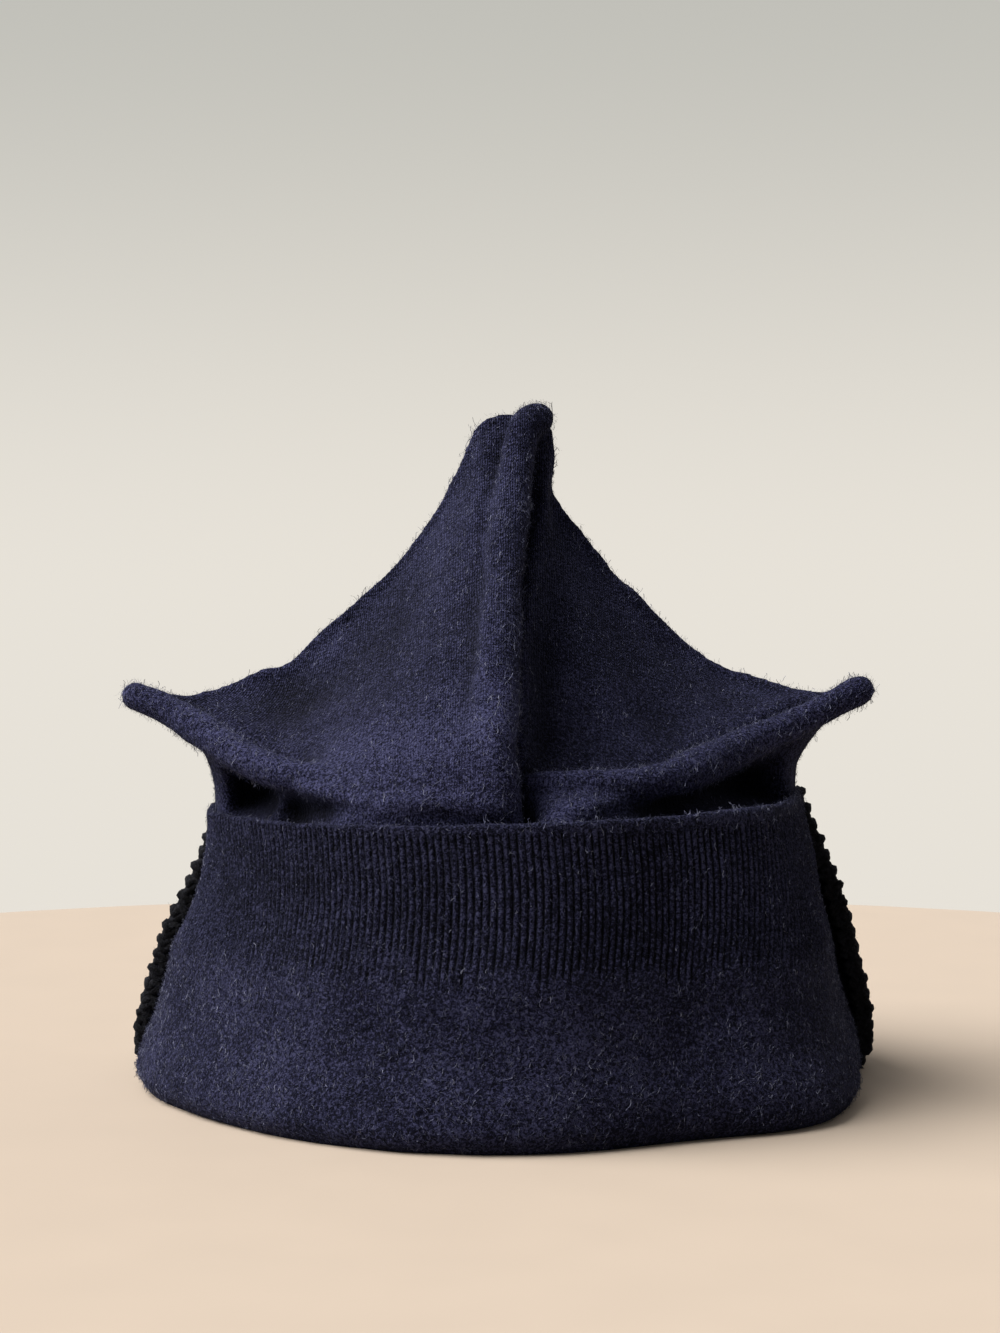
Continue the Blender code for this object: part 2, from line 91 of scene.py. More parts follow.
# Outline of the cuffs: share of the cuff's height, then the outer radius of the front and the
# back cuff and the lean to the right, as shares of the rim's radius
CUFF_SECTIONS = (
    (0.00, 0.968, 1.015, 0.000),
    (0.04, 0.993, 1.040, 0.000),
    (0.12, 0.990, 1.052, 0.002),
    (0.25, 0.952, 1.038, 0.006),
    (0.40, 0.918, 1.006, 0.009),
    (0.52, 0.901, 0.980, 0.012),
    (0.65, 0.866, 0.938, 0.020),
    (0.80, 0.837, 0.888, 0.022),
    (0.92, 0.820, 0.852, 0.016),
    (1.00, 0.812, 0.833, 0.010),
)

# Soft corners and flats of the rim's outline: azimuth and half width in degrees, and rise as a
# share of the rim's radius
PLAN_FORMS = (
    (-2.0, 13.0, 0.010),
    (-52.0, 22.0, -0.048),
    (27.0, 14.0, -0.038),
    (50.0, 12.0, 0.034),
    (79.0, 9.0, -0.020),
    (180.0, 50.0, -0.036),
)

# Guide lines of the crown, each from the left horn by the front or the back to the right horn.
# Columns: turn from -1 at the left horn to 1 at the right, then reach and depth as shares of
# the horns' reach, and rise above the cuff as a share of the crown's
#
# The line where the front and the back close, over the peak
CLOSING_LINE = (
    (-1.00, -0.930, -0.120, 0.280),
    (-0.92, -0.840, -0.100, 0.276),
    (-0.86, -0.780, -0.050, 0.282),
    (-0.78, -0.720, -0.020, 0.305),
    (-0.68, -0.655, 0.000, 0.335),
    (-0.56, -0.560, 0.010, 0.360),
    (-0.46, -0.463, 0.020, 0.457),
    (-0.36, -0.355, 0.030, 0.549),
    (-0.27, -0.265, 0.035, 0.640),
    (-0.19, -0.185, 0.035, 0.747),
    (-0.12, -0.112, 0.035, 0.880),
    (-0.06, -0.062, 0.035, 0.992),
    (-0.02, -0.018, 0.035, 1.018),
    (0.03, 0.050, 0.040, 1.015),
    (0.07, 0.116, 0.045, 1.000),
    (0.11, 0.133, 0.050, 0.920),
    (0.15, 0.124, 0.050, 0.835),
    (0.20, 0.195, 0.045, 0.720),
    (0.27, 0.275, 0.040, 0.615),
    (0.36, 0.365, 0.030, 0.526),
    (0.46, 0.465, 0.020, 0.425),
    (0.56, 0.570, 0.010, 0.350),
    (0.68, 0.655, 0.000, 0.325),
    (0.78, 0.725, -0.020, 0.305),
    (0.86, 0.785, -0.050, 0.285),
    (0.92, 0.840, -0.100, 0.285),
    (1.00, 0.920, -0.120, 0.295),
)

# The middle of the two front faces
FACE_LINE = (
    (-1.00, -0.925, -0.122, 0.275),
    (-0.90, -0.820, -0.105, 0.270),
    (-0.80, -0.725, -0.085, 0.265),
    (-0.68, -0.640, -0.100, 0.250),
    (-0.56, -0.540, -0.130, 0.250),
    (-0.44, -0.430, -0.170, 0.300),
    (-0.32, -0.310, -0.215, 0.380),
    (-0.20, -0.195, -0.265, 0.470),
    (-0.10, -0.095, -0.300, 0.560),
    (-0.05, -0.045, -0.325, 0.600),
    (0.00, 0.010, -0.290, 0.610),
    (0.04, 0.055, -0.225, 0.600),
    (0.09, 0.095, -0.190, 0.530),
    (0.18, 0.190, -0.195, 0.440),
    (0.30, 0.310, -0.190, 0.335),
    (0.44, 0.440, -0.170, 0.270),
    (0.58, 0.560, -0.130, 0.255),
    (0.72, 0.660, -0.095, 0.265),
    (0.86, 0.780, -0.105, 0.280),
    (1.00, 0.915, -0.122, 0.290),
)

# The soft crease above the horns' rolls and the front bulge
CREASE_LINE = (
    (-1.00, -0.920, -0.124, 0.270),
    (-0.92, -0.840, -0.135, 0.262),
    (-0.82, -0.720, -0.210, 0.210),
    (-0.70, -0.605, -0.320, 0.140),
    (-0.57, -0.510, -0.430, 0.120),
    (-0.42, -0.377, -0.525, 0.150),
    (-0.27, -0.250, -0.590, 0.185),
    (-0.13, -0.115, -0.615, 0.225),
    (-0.05, -0.050, -0.620, 0.240),
    (0.00, 0.000, -0.585, 0.245),
    (0.04, 0.045, -0.490, 0.215),
    (0.09, 0.085, -0.450, 0.165),
    (0.17, 0.150, -0.455, 0.130),
    (0.30, 0.260, -0.450, 0.110),
    (0.44, 0.370, -0.410, 0.105),
    (0.58, 0.500, -0.310, 0.150),
    (0.72, 0.640, -0.200, 0.215),
    (0.86, 0.780, -0.125, 0.268),
    (1.00, 0.910, -0.124, 0.285),
)

# The crest of the horns' rolls and of the front bulge
CREST_LINE = (
    (-1.00, -0.915, -0.126, 0.262),
    (-0.93, -0.850, -0.170, 0.232),
    (-0.84, -0.750, -0.270, 0.175),
    (-0.72, -0.636, -0.390, 0.118),
    (-0.58, -0.500, -0.540, 0.070),
    (-0.42, -0.345, -0.655, 0.065),
    (-0.25, -0.187, -0.725, 0.072),
    (-0.12, -0.080, -0.745, 0.070),
    (-0.04, -0.030, -0.750, 0.065),
    (0.01, 0.010, -0.740, 0.055),
    (0.05, 0.055, -0.670, 0.045),
    (0.10, 0.095, -0.650, 0.050),
    (0.20, 0.180, -0.650, 0.055),
    (0.32, 0.280, -0.605, 0.060),
    (0.45, 0.387, -0.520, 0.073),
    (0.57, 0.494, -0.420, 0.107),
    (0.72, 0.633, -0.280, 0.158),
    (0.86, 0.790, -0.180, 0.228),
    (1.00, 0.905, -0.126, 0.275),
)

# The front wall between the cuff and the crest, with its hollows under the two horns
HOLLOW_LINE = (
    (-1.00, -0.785, -0.020, 0.110),
    (-0.92, -0.760, -0.130, 0.085),
    (-0.82, -0.670, -0.250, 0.060),
    (-0.72, -0.590, -0.350, 0.040),
    (-0.64, -0.575, -0.440, 0.020),
    (-0.56, -0.475, -0.480, 0.010),
    (-0.44, -0.375, -0.640, 0.010),
    (-0.20, -0.160, -0.735, 0.010),
    (0.00, 0.000, -0.750, 0.000),
    (0.20, 0.175, -0.710, 0.000),
    (0.36, 0.300, -0.620, 0.000),
    (0.50, 0.400, -0.500, 0.020),
    (0.65, 0.500, -0.360, 0.050),
    (0.80, 0.630, -0.220, 0.080),
    (0.92, 0.755, -0.100, 0.105),
    (1.00, 0.798, -0.020, 0.110),
)

# The plain back wall above the cuff
BACK_LINE = (
    (-1.00, -0.785, -0.020, 0.110),
    (-0.80, -0.715, 0.235, 0.110),
    (-0.50, -0.530, 0.515, 0.110),
    (0.00, 0.000, 0.710, 0.110),
    (0.50, 0.530, 0.515, 0.110),
    (0.80, 0.720, 0.235, 0.110),
    (1.00, 0.798, -0.020, 0.110),
)

# Middle lines of the three rolled ridges. Columns: share of the way, reach, depth and rise as
# above, and thickness as a share of the ridges' radius
PEAK_RIDGE = (
    (0.00, 0.010, -0.705, -0.020, 1.00),
    (0.08, -0.005, -0.685, 0.080, 1.05),
    (0.18, -0.020, -0.650, 0.160, 1.12),
    (0.28, -0.018, -0.575, 0.260, 1.15),
    (0.40, -0.012, -0.468, 0.390, 1.15),
    (0.55, -0.002, -0.340, 0.545, 1.10),
    (0.70, 0.014, -0.215, 0.705, 1.08),
    (0.84, 0.032, -0.105, 0.850, 1.00),
    (0.93, 0.049, -0.050, 0.950, 0.95),
    (0.97, 0.066, -0.030, 0.998, 0.95),
    (1.00, 0.094, -0.010, 1.015, 0.93),
)
LEFT_RIDGE = (
    (0.00, -0.440, -0.500, 0.080, 0.95),
    (0.20, -0.540, -0.450, 0.095, 1.00),
    (0.40, -0.636, -0.385, 0.124, 1.00),
    (0.62, -0.750, -0.280, 0.178, 0.97),
    (0.80, -0.850, -0.185, 0.235, 0.88),
    (1.00, -0.965, -0.125, 0.278, 0.82),
)
RIGHT_RIDGE = (
    (0.00, 0.070, -0.582, 0.084, 0.60),
    (0.16, 0.250, -0.565, 0.070, 0.95),
    (0.32, 0.387, -0.505, 0.080, 0.98),
    (0.48, 0.494, -0.420, 0.112, 1.00),
    (0.66, 0.633, -0.285, 0.160, 0.98),
    (0.83, 0.795, -0.175, 0.230, 0.88),
    (1.00, 0.935, -0.120, 0.295, 0.84),
)

# Fine forms of the crown's skin, in metres
HIDDEN_STEP = 0.0004
FELT_EASING = 9
VALLEY_ROUNDS = (60, 300)
WELT_TURNS = (-0.96, 0.96)
WELT_RINGS = 260
WELT_SIDES = 12
WELT_RADIUS = 0.0014
ROLL_END_LIFTS = (0.98, 0.92, 0.80, 0.60, 0.30)

# Furrows along the ridges. For each: its line and the axis across which it has two sides. Then
# the low side and the high side: depth, first and last share of the way, and where it is pushed
FURROW_SPAN = 1.35
BACK = (0.0, 0.90, 0.0)
BACK_AND_DOWN = (0.0, 0.90, -0.44)
STEEPLY_DOWN = (0.0, 0.75, -0.66)
FURROWS = (
    (PEAK_RIDGE, 0, (0.0055, 0.30, 1.00, BACK_AND_DOWN), (0.0150, 0.00, 0.86, BACK_AND_DOWN)),
    (LEFT_RIDGE, 2, (0.0045, 0.38, 0.75, BACK), (0.0110, 0.22, 0.92, STEEPLY_DOWN)),
    (RIGHT_RIDGE, 2, (0.0060, 0.20, 0.80, BACK), (0.0100, 0.00, 0.92, STEEPLY_DOWN)),
)

# What furrows and pockets leave free before the closing line, and the share of the rest they take
LEAST_ROOM = 0.004
ROOM_SHARE = 0.7

# Pockets in the front wall under the horns, and a fold that stands out beside them: place across
# and height, half widths of both, depth
POCKETS = (
    (-0.0670, 0.0785, 0.0072, 0.0072, 0.0150),
    (-0.0540, 0.0745, 0.0045, 0.0045, 0.0070),
    (0.0640, 0.0790, 0.0120, 0.0065, 0.0110),
    (0.0450, 0.0760, 0.0080, 0.0045, 0.0060),
    (-0.0745, 0.0790, 0.0032, 0.0110, -0.0090),
)
POCKET_ASIDE = 0.3
CROWN_WAVES = ((0.021, 0.0009, 3.1), (0.009, 0.00045, 11.7), (0.0035, 0.00016, 23.3))
CUFF_WAVES = ((0.030, 0.0008, 5.3), (0.011, 0.00045, 17.9), (0.0040, 0.00018, 29.1))
RIGHT_TAPER = 0.0018
GARTER_SINK = 0.0021
BAND_SINK = 0.0012

# Named inputs of the geometry trees
RIBS = {
    "Ribs": float(RIB_COUNT),
    "Groove Depth": 0.00075,
    "Foot": RIB_FOOT,
    "Head": 0.0722,
    "Raggedness": 0.0030,
    "Wander": 0.8,
}
GARTER = {
    "Stitch": 0.0043,
    "Row Height": GARTER_PITCH,
    "Yarn Radius": 0.0013,
    "Bulge": 0.0003,
    "Unevenness": 0.0004,
    "Points to a Stitch": 6.0,
}
SHORT_FUZZ = {
    "Density": 1.0e6,
    "Length": 0.0011,
    "Thickness": 0.000045,
    "Rise": 0.60,
    "Curl": 0.0012,
    "Points": 3,
    "Seed": 3,
}
WISPS = {
    "Density": 0.30e6,
    "Length": 0.0019,
    "Thickness": 0.00013,
    "Rise": 0.10,
    "Curl": 0.0016,
    "Points": 5,
    "Seed": 5,
}
BACK_FUZZ = SHORT_FUZZ | {"Density": 0.20e6, "Length": 0.0010, "Seed": 11}
FUZZ_LOWEST = 0.0003
FUZZ_FOOT = CUFF_HEIGHT - 0.002
SMOOTHER_RIBS = 0.75

# For each piece of fuzz: what it grows on, its fibre and its sizes
FUZZ = {
    "crown_fuzz": ("crown", "navy", SHORT_FUZZ),
    "crown_wisps": ("crown", "wisp", WISPS),
    "front_cuff_fuzz": ("front_cuff", "navy", SHORT_FUZZ | {"Density": 1.2e6, "Seed": 7}),
    "front_cuff_wisps": ("front_cuff", "wisp", WISPS | {"Density": 0.55e6, "Seed": 9}),
    "back_cuff_fuzz": ("back_cuff", "black", BACK_FUZZ),
}

# Matted wool in layers: scale, detail, twist and share. Then the share of the broad clouds of
# colour in heather wool, and how narrow the grooves between ribs are
FELT_LAYERS = ((1.0, 4.0, 2.2, 0.5), (2.4, 3.0, 1.2, 0.3), (0.35, 2.0, 0.4, 0.35))
CLOUD_SHARE = 0.14
GROOVE_SHARPNESS = 3.2

# Wool colours: dark, middle and pale
NAVY = ((0.0050, 0.0053, 0.0155, 1.0), (0.0248, 0.0258, 0.071, 1.0), (0.085, 0.088, 0.185, 1.0))
BLACK = ((0.0015, 0.0015, 0.0025, 1.0), (0.0045, 0.0045, 0.0075, 1.0), (0.020, 0.021, 0.032, 1.0))
NAVY_FIBRE = ((0.022, 0.024, 0.058, 1.0), (0.060, 0.064, 0.13, 1.0), (0.20, 0.21, 0.30, 1.0))
NAVY_WISP = ((0.035, 0.037, 0.075, 1.0), (0.090, 0.095, 0.165, 1.0), (0.26, 0.27, 0.37, 1.0))
BLACK_FIBRE = ((0.002, 0.002, 0.004, 1.0), (0.008, 0.008, 0.013, 1.0), (0.040, 0.042, 0.06, 1.0))
SHEEN_TINT = (0.30, 0.34, 0.62, 1.0)
SHEEN_ROUGHNESS = 0.4

# Finish of each wool: size of the mottling and share of pale flecks, then a range of its height
# and the roughness at both ends, then sheen and specular level
CROWN_FINISH = (0.00058, 0.70, (0.3, 0.7, 0.95, 0.82), 0.10, 0.12)
RIB_FINISH = (0.00070, 0.76, (0.3, 0.7, 0.96, 0.84), 0.10, 0.12)
BLACK_FINISH = (0.0009, 0.4, (0.3, 0.7, 0.9, 0.7), 0.05, 0.2)
FIBRE_FINISH = (0.0015, 0.8, (0.3, 0.7, 0.85, 0.6), 0.05, 0.2)

# Size of the matting and depth of the bumps, in metres, and what knit and felt add to them
CROWN_MATTING = 0.0012
CROWN_BUMP = 0.0009
RIB_MATTING = 0.0014
RIB_BUMP = 0.0024
BLACK_MATTING = 0.0008
BLACK_BUMP = 0.0009
KNIT_RELIEF = 0.75
FELT_RELIEF = 0.9

# Where the knit turns round the side walls and where it shows, how it climbs, and how felted it is
KNIT_TURNS = (0.025, 0.110)
KNIT_HEIGHTS = (0.088, 0.130)
KNIT_CLIMB = 0.79
KNIT_SLANT = 0.61
CLOSING_DEPTH = 0.003
FELTING = 0.6

# How clear the knit is, and painted shade and painted highlight on the wool: a range of a measure,
# then the value at both ends of it. The measures are the depth of valleys, of furrows, of broad
# hollows and of grooves, and the height. Painted shade falls in the valleys, the gaps between
# stitches, the broad hollows, the grooves between ribs and over the ribbed band, and a painted
# highlight on the rolls and, slightly, on broad bulges
KNIT_SHOWS = (-1.4, -0.3, 0.35, 1.0)
VALLEY_PAINTED_SHADE = (0.2, 2.2, 1.0, 0.25)
ROLL_PAINTED_HIGHLIGHT = (-2.5, -0.4, 1.25, 1.0)
STITCH_GAP_PAINTED_SHADE = (0.0, 0.6, 0.62, 0.0)
HOLLOW_PAINTED_SHADE = (-1.6, 2.4, 1.06, 0.50)
GROOVE_PAINTED_SHADE = (0.06, 0.70, 1.0, 0.14)
RIB_BAND_PAINTED_SHADE = (RIB_FOOT - 0.004, RIB_FOOT + 0.006, 0.95, 0.74)

# Stage
FLOOR_COLOUR = (0.64, 0.53, 0.43, 1.0)
FLOOR_BOUNCE = 0.45
FLOOR_RINGS = (0.10, 0.20, 0.30, 0.42)
ROOM_LIT = (0.27, 0.27, 0.27, 1.0)
ROOM_DIM = (0.115, 0.114, 0.112, 1.0)
ROOM_WALL = (0.42, 0.41, 0.395, 1.0)
BACKDROP_LOW = (0.80, 0.76, 0.69, 1.0)
BACKDROP_HIGH = (0.52, 0.515, 0.475, 1.0)
WINDOW_FROM = (-0.64, -0.05, 0.77)
WINDOW_SOFTNESS = 54.0
WINDOW_POWER = 4.3
WINDOW_COLOUR = (1.0, 0.985, 0.96)
CAMERA_LENS = 67.97
CAMERA_PLACE = (-0.00105, -0.67355, 0.126)
CAMERA_PITCH = math.pi / 2 - math.atan((666.5 - 608.0) / 2517.0)

# Moves every piece as the solids are moved, so that the origin is under the outline's middle
MIDDLE_SHIFT = (-0.00025, -0.00055, 0.0)


# Curves and guide lines

def curve_weights(key, at):
    """Row before each place on a smooth curve, and the weights of its ends and their slopes."""
    left = np.clip(np.searchsorted(key, at, side="right") - 1, 0, len(key) - 2)
    step = key[left + 1] - key[left]
    t = (at - key[left]) / step
    weights = (
        2 * t**3 - 3 * t**2 + 1,
        (t**3 - 2 * t**2 + t) * step,
        3 * t**2 - 2 * t**3,
        (t**3 - t**2) * step,
    )
    return left, [weight[..., None] for weight in weights]


def smooth(table, at):
    """The table's later columns at `at` in its first one, on a smooth curve through its rows."""
    rows = np.array(table, float)
    key, values = rows[:, 0], rows[:, 1:]
    slopes = np.gradient(values, key, axis=0)
    left, weights = curve_weights(key, np.asarray(at, float))
    ends = (values[left], slopes[left], values[left + 1], slopes[left + 1])
    return sum(weight * end for weight, end in zip(weights, ends))


def across(key, lines, at):
    """Points on smooth curves across several lines, at a place on each of their columns."""
    values = np.stack(lines)
    key = np.array(key, float)
    slopes = np.gradient(values, key, axis=0)
    left, weights = curve_weights(key, at)
    column = np.arange(values.shape[1])
    ends = (
        values[left, column],
        slopes[left, column],
        values[left + 1, column],
        slopes[left + 1, column],
    )
    return sum(weight * end for weight, end in zip(weights, ends))


def bell(distance, half_width):
    """1 in the middle, falling smoothly past the half width."""
    return np.exp(-((distance / half_width) ** 2))


def plan_share(azimuth):
    """How far the rim's outline stands out or in at an azimuth, as a factor on its radius."""
    share = np.ones_like(azimuth)
    for centre, half_width, rise in PLAN_FORMS:
        apart = (azimuth - centre + 180.0) % 360.0 - 180.0
        share += rise * bell(apart, half_width)
    return share


def cuff_radius(azimuth, height_share, cuff):
    """Outer radius of the front (0) or the back (1) cuff."""
    section = smooth(CUFF_SECTIONS, np.broadcast_to(height_share, azimuth.shape))
    form = 1.0 + (plan_share(azimuth) - 1.0) * (1.0 - 0.55 * height_share)
    return RIM_RADIUS * section[..., cuff] * form


def cuff_lean(height_share, like):
    """How far a section of the cuffs lies to the right of the rim's middle."""
    return RIM_RADIUS * smooth(CUFF_SECTIONS, np.broadcast_to(height_share, like.shape))[..., 2]


def cuff_top(azimuth):
    """Height of the cuff's top edge, which tilts up to the right."""
    return CUFF_HEIGHT + CUFF_TILT * np.sin(np.radians(azimuth))


def on_plan(azimuth, radius, lean, height):
    """Points at an azimuth, a radius and a height."""
    turn = np.radians(azimuth)
    return np.stack([lean + radius * np.sin(turn), -radius * np.cos(turn), height], axis=-1)


def inner_radius(azimuth, height_share):
    """Radius of the crown's outer side where it stands inside the cuffs."""
    front = cuff_radius(azimuth, height_share, 0) - FRONT_CUFF_WALL
    back = cuff_radius(azimuth, height_share, 1) - BACK_CUFF_WALL
    free = CLEARANCE + SLACK * height_share
    return np.minimum(front, back) - free


def guide(table, turn):
    """Points of a guide line of the crown at a turn from -1 to 1."""
    reach, depth, rise = np.moveaxis(smooth(table, turn), -1, 0)[:3]
    return np.stack(
        [HORN_REACH * reach, HORN_REACH * depth, CUFF_HEIGHT + CROWN_RISE * rise], axis=-1
    )


def body_point(azimuth, share):
    """A point of the crown's wall behind the cuffs, at a share of its way up to the waist."""
    foot = (FOLD_THICKNESS + CLEARANCE) / CUFF_HEIGHT
    height_share = foot + (SHARED_RINGS[-1] - foot) * share
    height = height_share * (CUFF_HEIGHT + (cuff_top(azimuth) - CUFF_HEIGHT) * share)
    radius = inner_radius(azimuth, height_share)
    return on_plan(azimuth, radius, cuff_lean(height_share, azimuth), height)


def crown_point(turn, back, level):
    """Points of the crown's outer side. Level 0 to 1 is behind the cuffs, and from 1 at the
    waist it goes over the hollows, the crest at 2, the crease and the faces to the closing
    line at 3."""
    azimuth = np.where(back, 180.0 - 90.0 * turn, 90.0 * turn)
    azimuth = (azimuth + 180.0) % 360.0 - 180.0
    below = body_point(azimuth, np.clip(level, 0.0, 1.0))
    waist = body_point(azimuth, np.ones_like(turn))
    closing = guide(CLOSING_LINE, turn)
    front = [waist, guide(HOLLOW_LINE, turn), guide(CREST_LINE, turn)]
    front += [guide(CREASE_LINE, turn), guide(FACE_LINE, turn), closing]

    wall = guide(BACK_LINE, turn)
    rear = [waist, wall]
    for share in (0.25, 0.50, 0.75):
        point = wall + (closing - wall) * share
        point[..., 1] -= BACK_SAG * math.sin(math.pi * share) * (1.0 - np.abs(turn) ** 4)
        rear.append(point)
    rear.append(closing)

    lines = [np.where(back[..., None], b, f) for f, b in zip(front, rear)]
    above = across((1.0, 1.5, 2.0, 2.3, 2.65, 3.0), lines, np.clip(level, 1.0, 3.0))
    return np.where(level[..., None] <= 1.0, below, above)


def crown_rings(columns, levels):
    """Rings of points up the crown, one at each level."""
    index = np.arange(columns)
    half = columns // 2
    back = index > half
    turn = np.where(back, 3.0 - 2.0 * index / half, -1.0 + 2.0 * index / half)
    return np.stack([crown_point(turn, back, np.full(columns, float(row))) for row in levels])


# Meshes

def placed(name, data):
    """A mesh, a light or a camera as an object of the scene."""
    made = bpy.data.objects.new(name, data)
    bpy.context.scene.collection.objects.link(made)
    return made


def finished(name, mesh):
    """The mesh as an object, shaded smooth, with its faces pointing out."""
    bmesh.ops.recalc_face_normals(mesh, faces=mesh.faces)
    data = bpy.data.meshes.new(name)
    mesh.to_mesh(data)
    mesh.free()
    data.shade_smooth()
    return placed(name, data)


def solid_of(name, points, faces):
    """An object from lists of points and of faces."""
    mesh = bmesh.new()
    corners = [mesh.verts.new(point) for point in points]
    for face in faces:
        mesh.faces.new([corners[k] for k in face])
    return finished(name, mesh)


def stacked(name, rings, seam=None):
    """A solid of rings of points one above another, with flat ends. A seam draws its top
    together along a line instead."""
    count = len(rings[0])
    points = [point for ring in rings for point in ring]
    rows = [[start + k for k in range(count)] for start in range(0, len(points), count)]
    if seam is not None:
        rows.append([len(points) + min(k, count - k) for k in range(count)])
        points += list(seam)
    faces = []
    for low, high in zip(rows, rows[1:]):
        for k in range(count):
            n = (k + 1) % count
            faces.append(list(dict.fromkeys((low[k], low[n], high[n], high[k]))))
    faces.append(rows[0][::-1])
    if seam is None:
        faces.append(rows[-1])
    return solid_of(name, points, faces)


def roll(name, middle, radius, sides):
    """A round roll along a line of points, with round ends."""
    along = np.gradient(middle, axis=0)
    along /= np.linalg.norm(along, axis=1, keepdims=True)
    caps = [[], []]
    for end, sign in ((0, -1.0), (-1, 1.0)):
        for lift in ROLL_END_LIFTS:
            centre = middle[end] + sign * along[end] * radius[end] * lift
            caps[end].append((centre, along[end], radius[end] * math.sqrt(1.0 - lift**2)))
    turns = [2.0 * math.pi * k / sides for k in range(sides)]
    side = np.cross(along[0], (0.0, 0.0, 1.0))
    rings = []
    for centre, direction, size in caps[0] + list(zip(middle, along, radius)) + caps[1][::-1]:
        side = side - direction * np.dot(side, direction)
        side /= np.linalg.norm(side)
        up = np.cross(direction, side)
        rings.append([centre + size * (math.cos(a) * side + math.sin(a) * up) for a in turns])
    return stacked(name, rings)


def ridge(name, table):
    """One of the crown's rolled ridges."""
    share = np.linspace(0.0, 1.0, RIDGE_RINGS)
    return roll(name, guide(table, share), RIDGE_RADIUS * smooth(table, share)[:, 3], RIDGE_SIDES)


def settled(made):
    """Makes an object's modifiers part of its mesh."""
    graph = bpy.context.evaluated_depsgraph_get()
    plain = bpy.data.meshes.new_from_object(made.evaluated_get(graph))
    made.modifiers.clear()
    made.data = plain
    return made


def joined(name, parts):
    """Several closed objects as one mesh of loose parts."""
    mesh = bmesh.new()
    for part in parts:
        mesh.from_mesh(part.data)
        bpy.data.objects.remove(part, do_unlink=True)
    return finished(name, mesh)


def boolean(made, operation, tool):
    """Joins or cuts an object with a tool, which is used up."""
    cut = made.modifiers.new(operation, "BOOLEAN")
    cut.operation = operation
    cut.object = tool
    cut.solver = "EXACT"
    settled(made)
    bpy.data.objects.remove(tool, do_unlink=True)


def corners_and_normals(data):
    count = len(data.vertices)
    places = np.empty(3 * count)
    data.vertices.foreach_get("co", places)
    normals = np.empty(3 * count)
    data.vertex_normals.foreach_get("vector", normals)
    return places.reshape(-1, 3), normals.reshape(-1, 3)


def undulate(made, layers, share=None):
    """Moves a surface softly in and out. Each layer has a size, a depth and a start."""
    places, normals = corners_and_normals(made.data)
    offset = np.zeros(len(places))
    for size, depth, start in layers:
        at = places / size + start
        offset += depth * np.array([noise.noise(Vector(point)) for point in at])
    if share is not None:
        offset *= share
    places += normals * offset[:, None]
    made.data.vertices.foreach_set("co", places.ravel())
    made.data.update()


def valleys(made, rounds):
    """How far each corner lies below two eased forms of its surface, in millimetres, one for
    each number of rounds. It is positive in valleys and negative on rolls."""
    places, normals = corners_and_normals(made.data)
    count = len(places)
    pairs = np.empty(2 * len(made.data.edges), dtype=np.int64)
    made.data.edges.foreach_get("vertices", pairs)
    first, second = pairs.reshape(-1, 2).T
    ends = np.concatenate([first, second])
    others = np.concatenate([second, first])
    near = np.bincount(ends, minlength=count)[:, None]
    smoothed = places.copy()
    depths = []
    for done in range(1, max(rounds) + 1):
        total = [np.bincount(ends, smoothed[others, k], count) for k in range(3)]
        smoothed = np.stack(total, axis=1) / near
        if done in rounds:
            depth = 1000.0 * ((smoothed - places) * normals).sum(axis=1)
            for _ in range(3):
                depth = np.bincount(ends, depth[others], count) / near[:, 0]
            depths.append(depth)
    return depths


def mark(data, name, values):
    """Stores one number for each corner of a mesh."""
    held = data.attributes.new(name, "FLOAT", "POINT")
    held.data.foreach_set("value", np.asarray(values, dtype=np.float32).ravel())


# The crown

def reaches(crown, heights, azimuths):
    """How far the crown's outer side stands from its axis, at each height and azimuth."""
    corners = [vertex.co for vertex in crown.data.vertices]
    tree = BVHTree.FromPolygons(corners, [face.vertices for face in crown.data.polygons])
    found = np.zeros((len(heights), len(azimuths)))
    for row, height in enumerate(heights):
        for column, azimuth in enumerate(azimuths):
            away = (math.sin(math.radians(azimuth)), -math.cos(math.radians(azimuth)), 0.0)
            found[row, column] = tree.ray_cast((0.0, 0.0, height), away)[3]
    return found


def crown_cavity(crown):
    """The space inside the crown, a wall's thickness or more in from its outer side."""
    foot = FOLD_THICKNESS + CLEARANCE
    lower = np.linspace(foot + 0.1 * CROWN_WALL, SHARED_RINGS[-1] * CUFF_HEIGHT, 10)
    upper = np.linspace(CUFF_HEIGHT, CUFF_HEIGHT + CAVITY_SHARE * CROWN_RISE, 26)
    heights = np.concatenate([lower, upper])
    step = 360.0 / CAVITY_COLUMNS
    azimuths = np.arange(CAVITY_COLUMNS) * step
    around = [reaches(crown, heights, azimuths + turn * step) for turn in (-0.5, 0.0, 0.5)]
    rise = np.where(heights > CUFF_HEIGHT, CROWN_WALL, 0.0)
    around += [reaches(crown, heights + lift * rise, azimuths) for lift in (-0.6, 1.2)]
    radius = np.min(around, axis=0) - CROWN_WALL
    rings = [on_plan(azimuths, row, 0.0, np.full_like(row, z)) for row, z in zip(radius, heights)]
    rings[0][:, 2] = -CUFF_HEIGHT / 4
    rings.insert(1, on_plan(azimuths, radius[0], 0.0, np.full_like(radius[0], heights[0])))
    return stacked("crown_cavity", rings)


def window(share, first, last, ease=0.10):
    """1 between two shares of the way, falling smoothly to 0 past them."""
    rise = np.clip((share - first) / ease + 1.0, 0.0, 1.0)
    fall = np.clip((last - share) / ease + 1.0, 0.0, 1.0)
    return (rise * rise * (3.0 - 2.0 * rise)) * (fall * fall * (3.0 - 2.0 * fall))


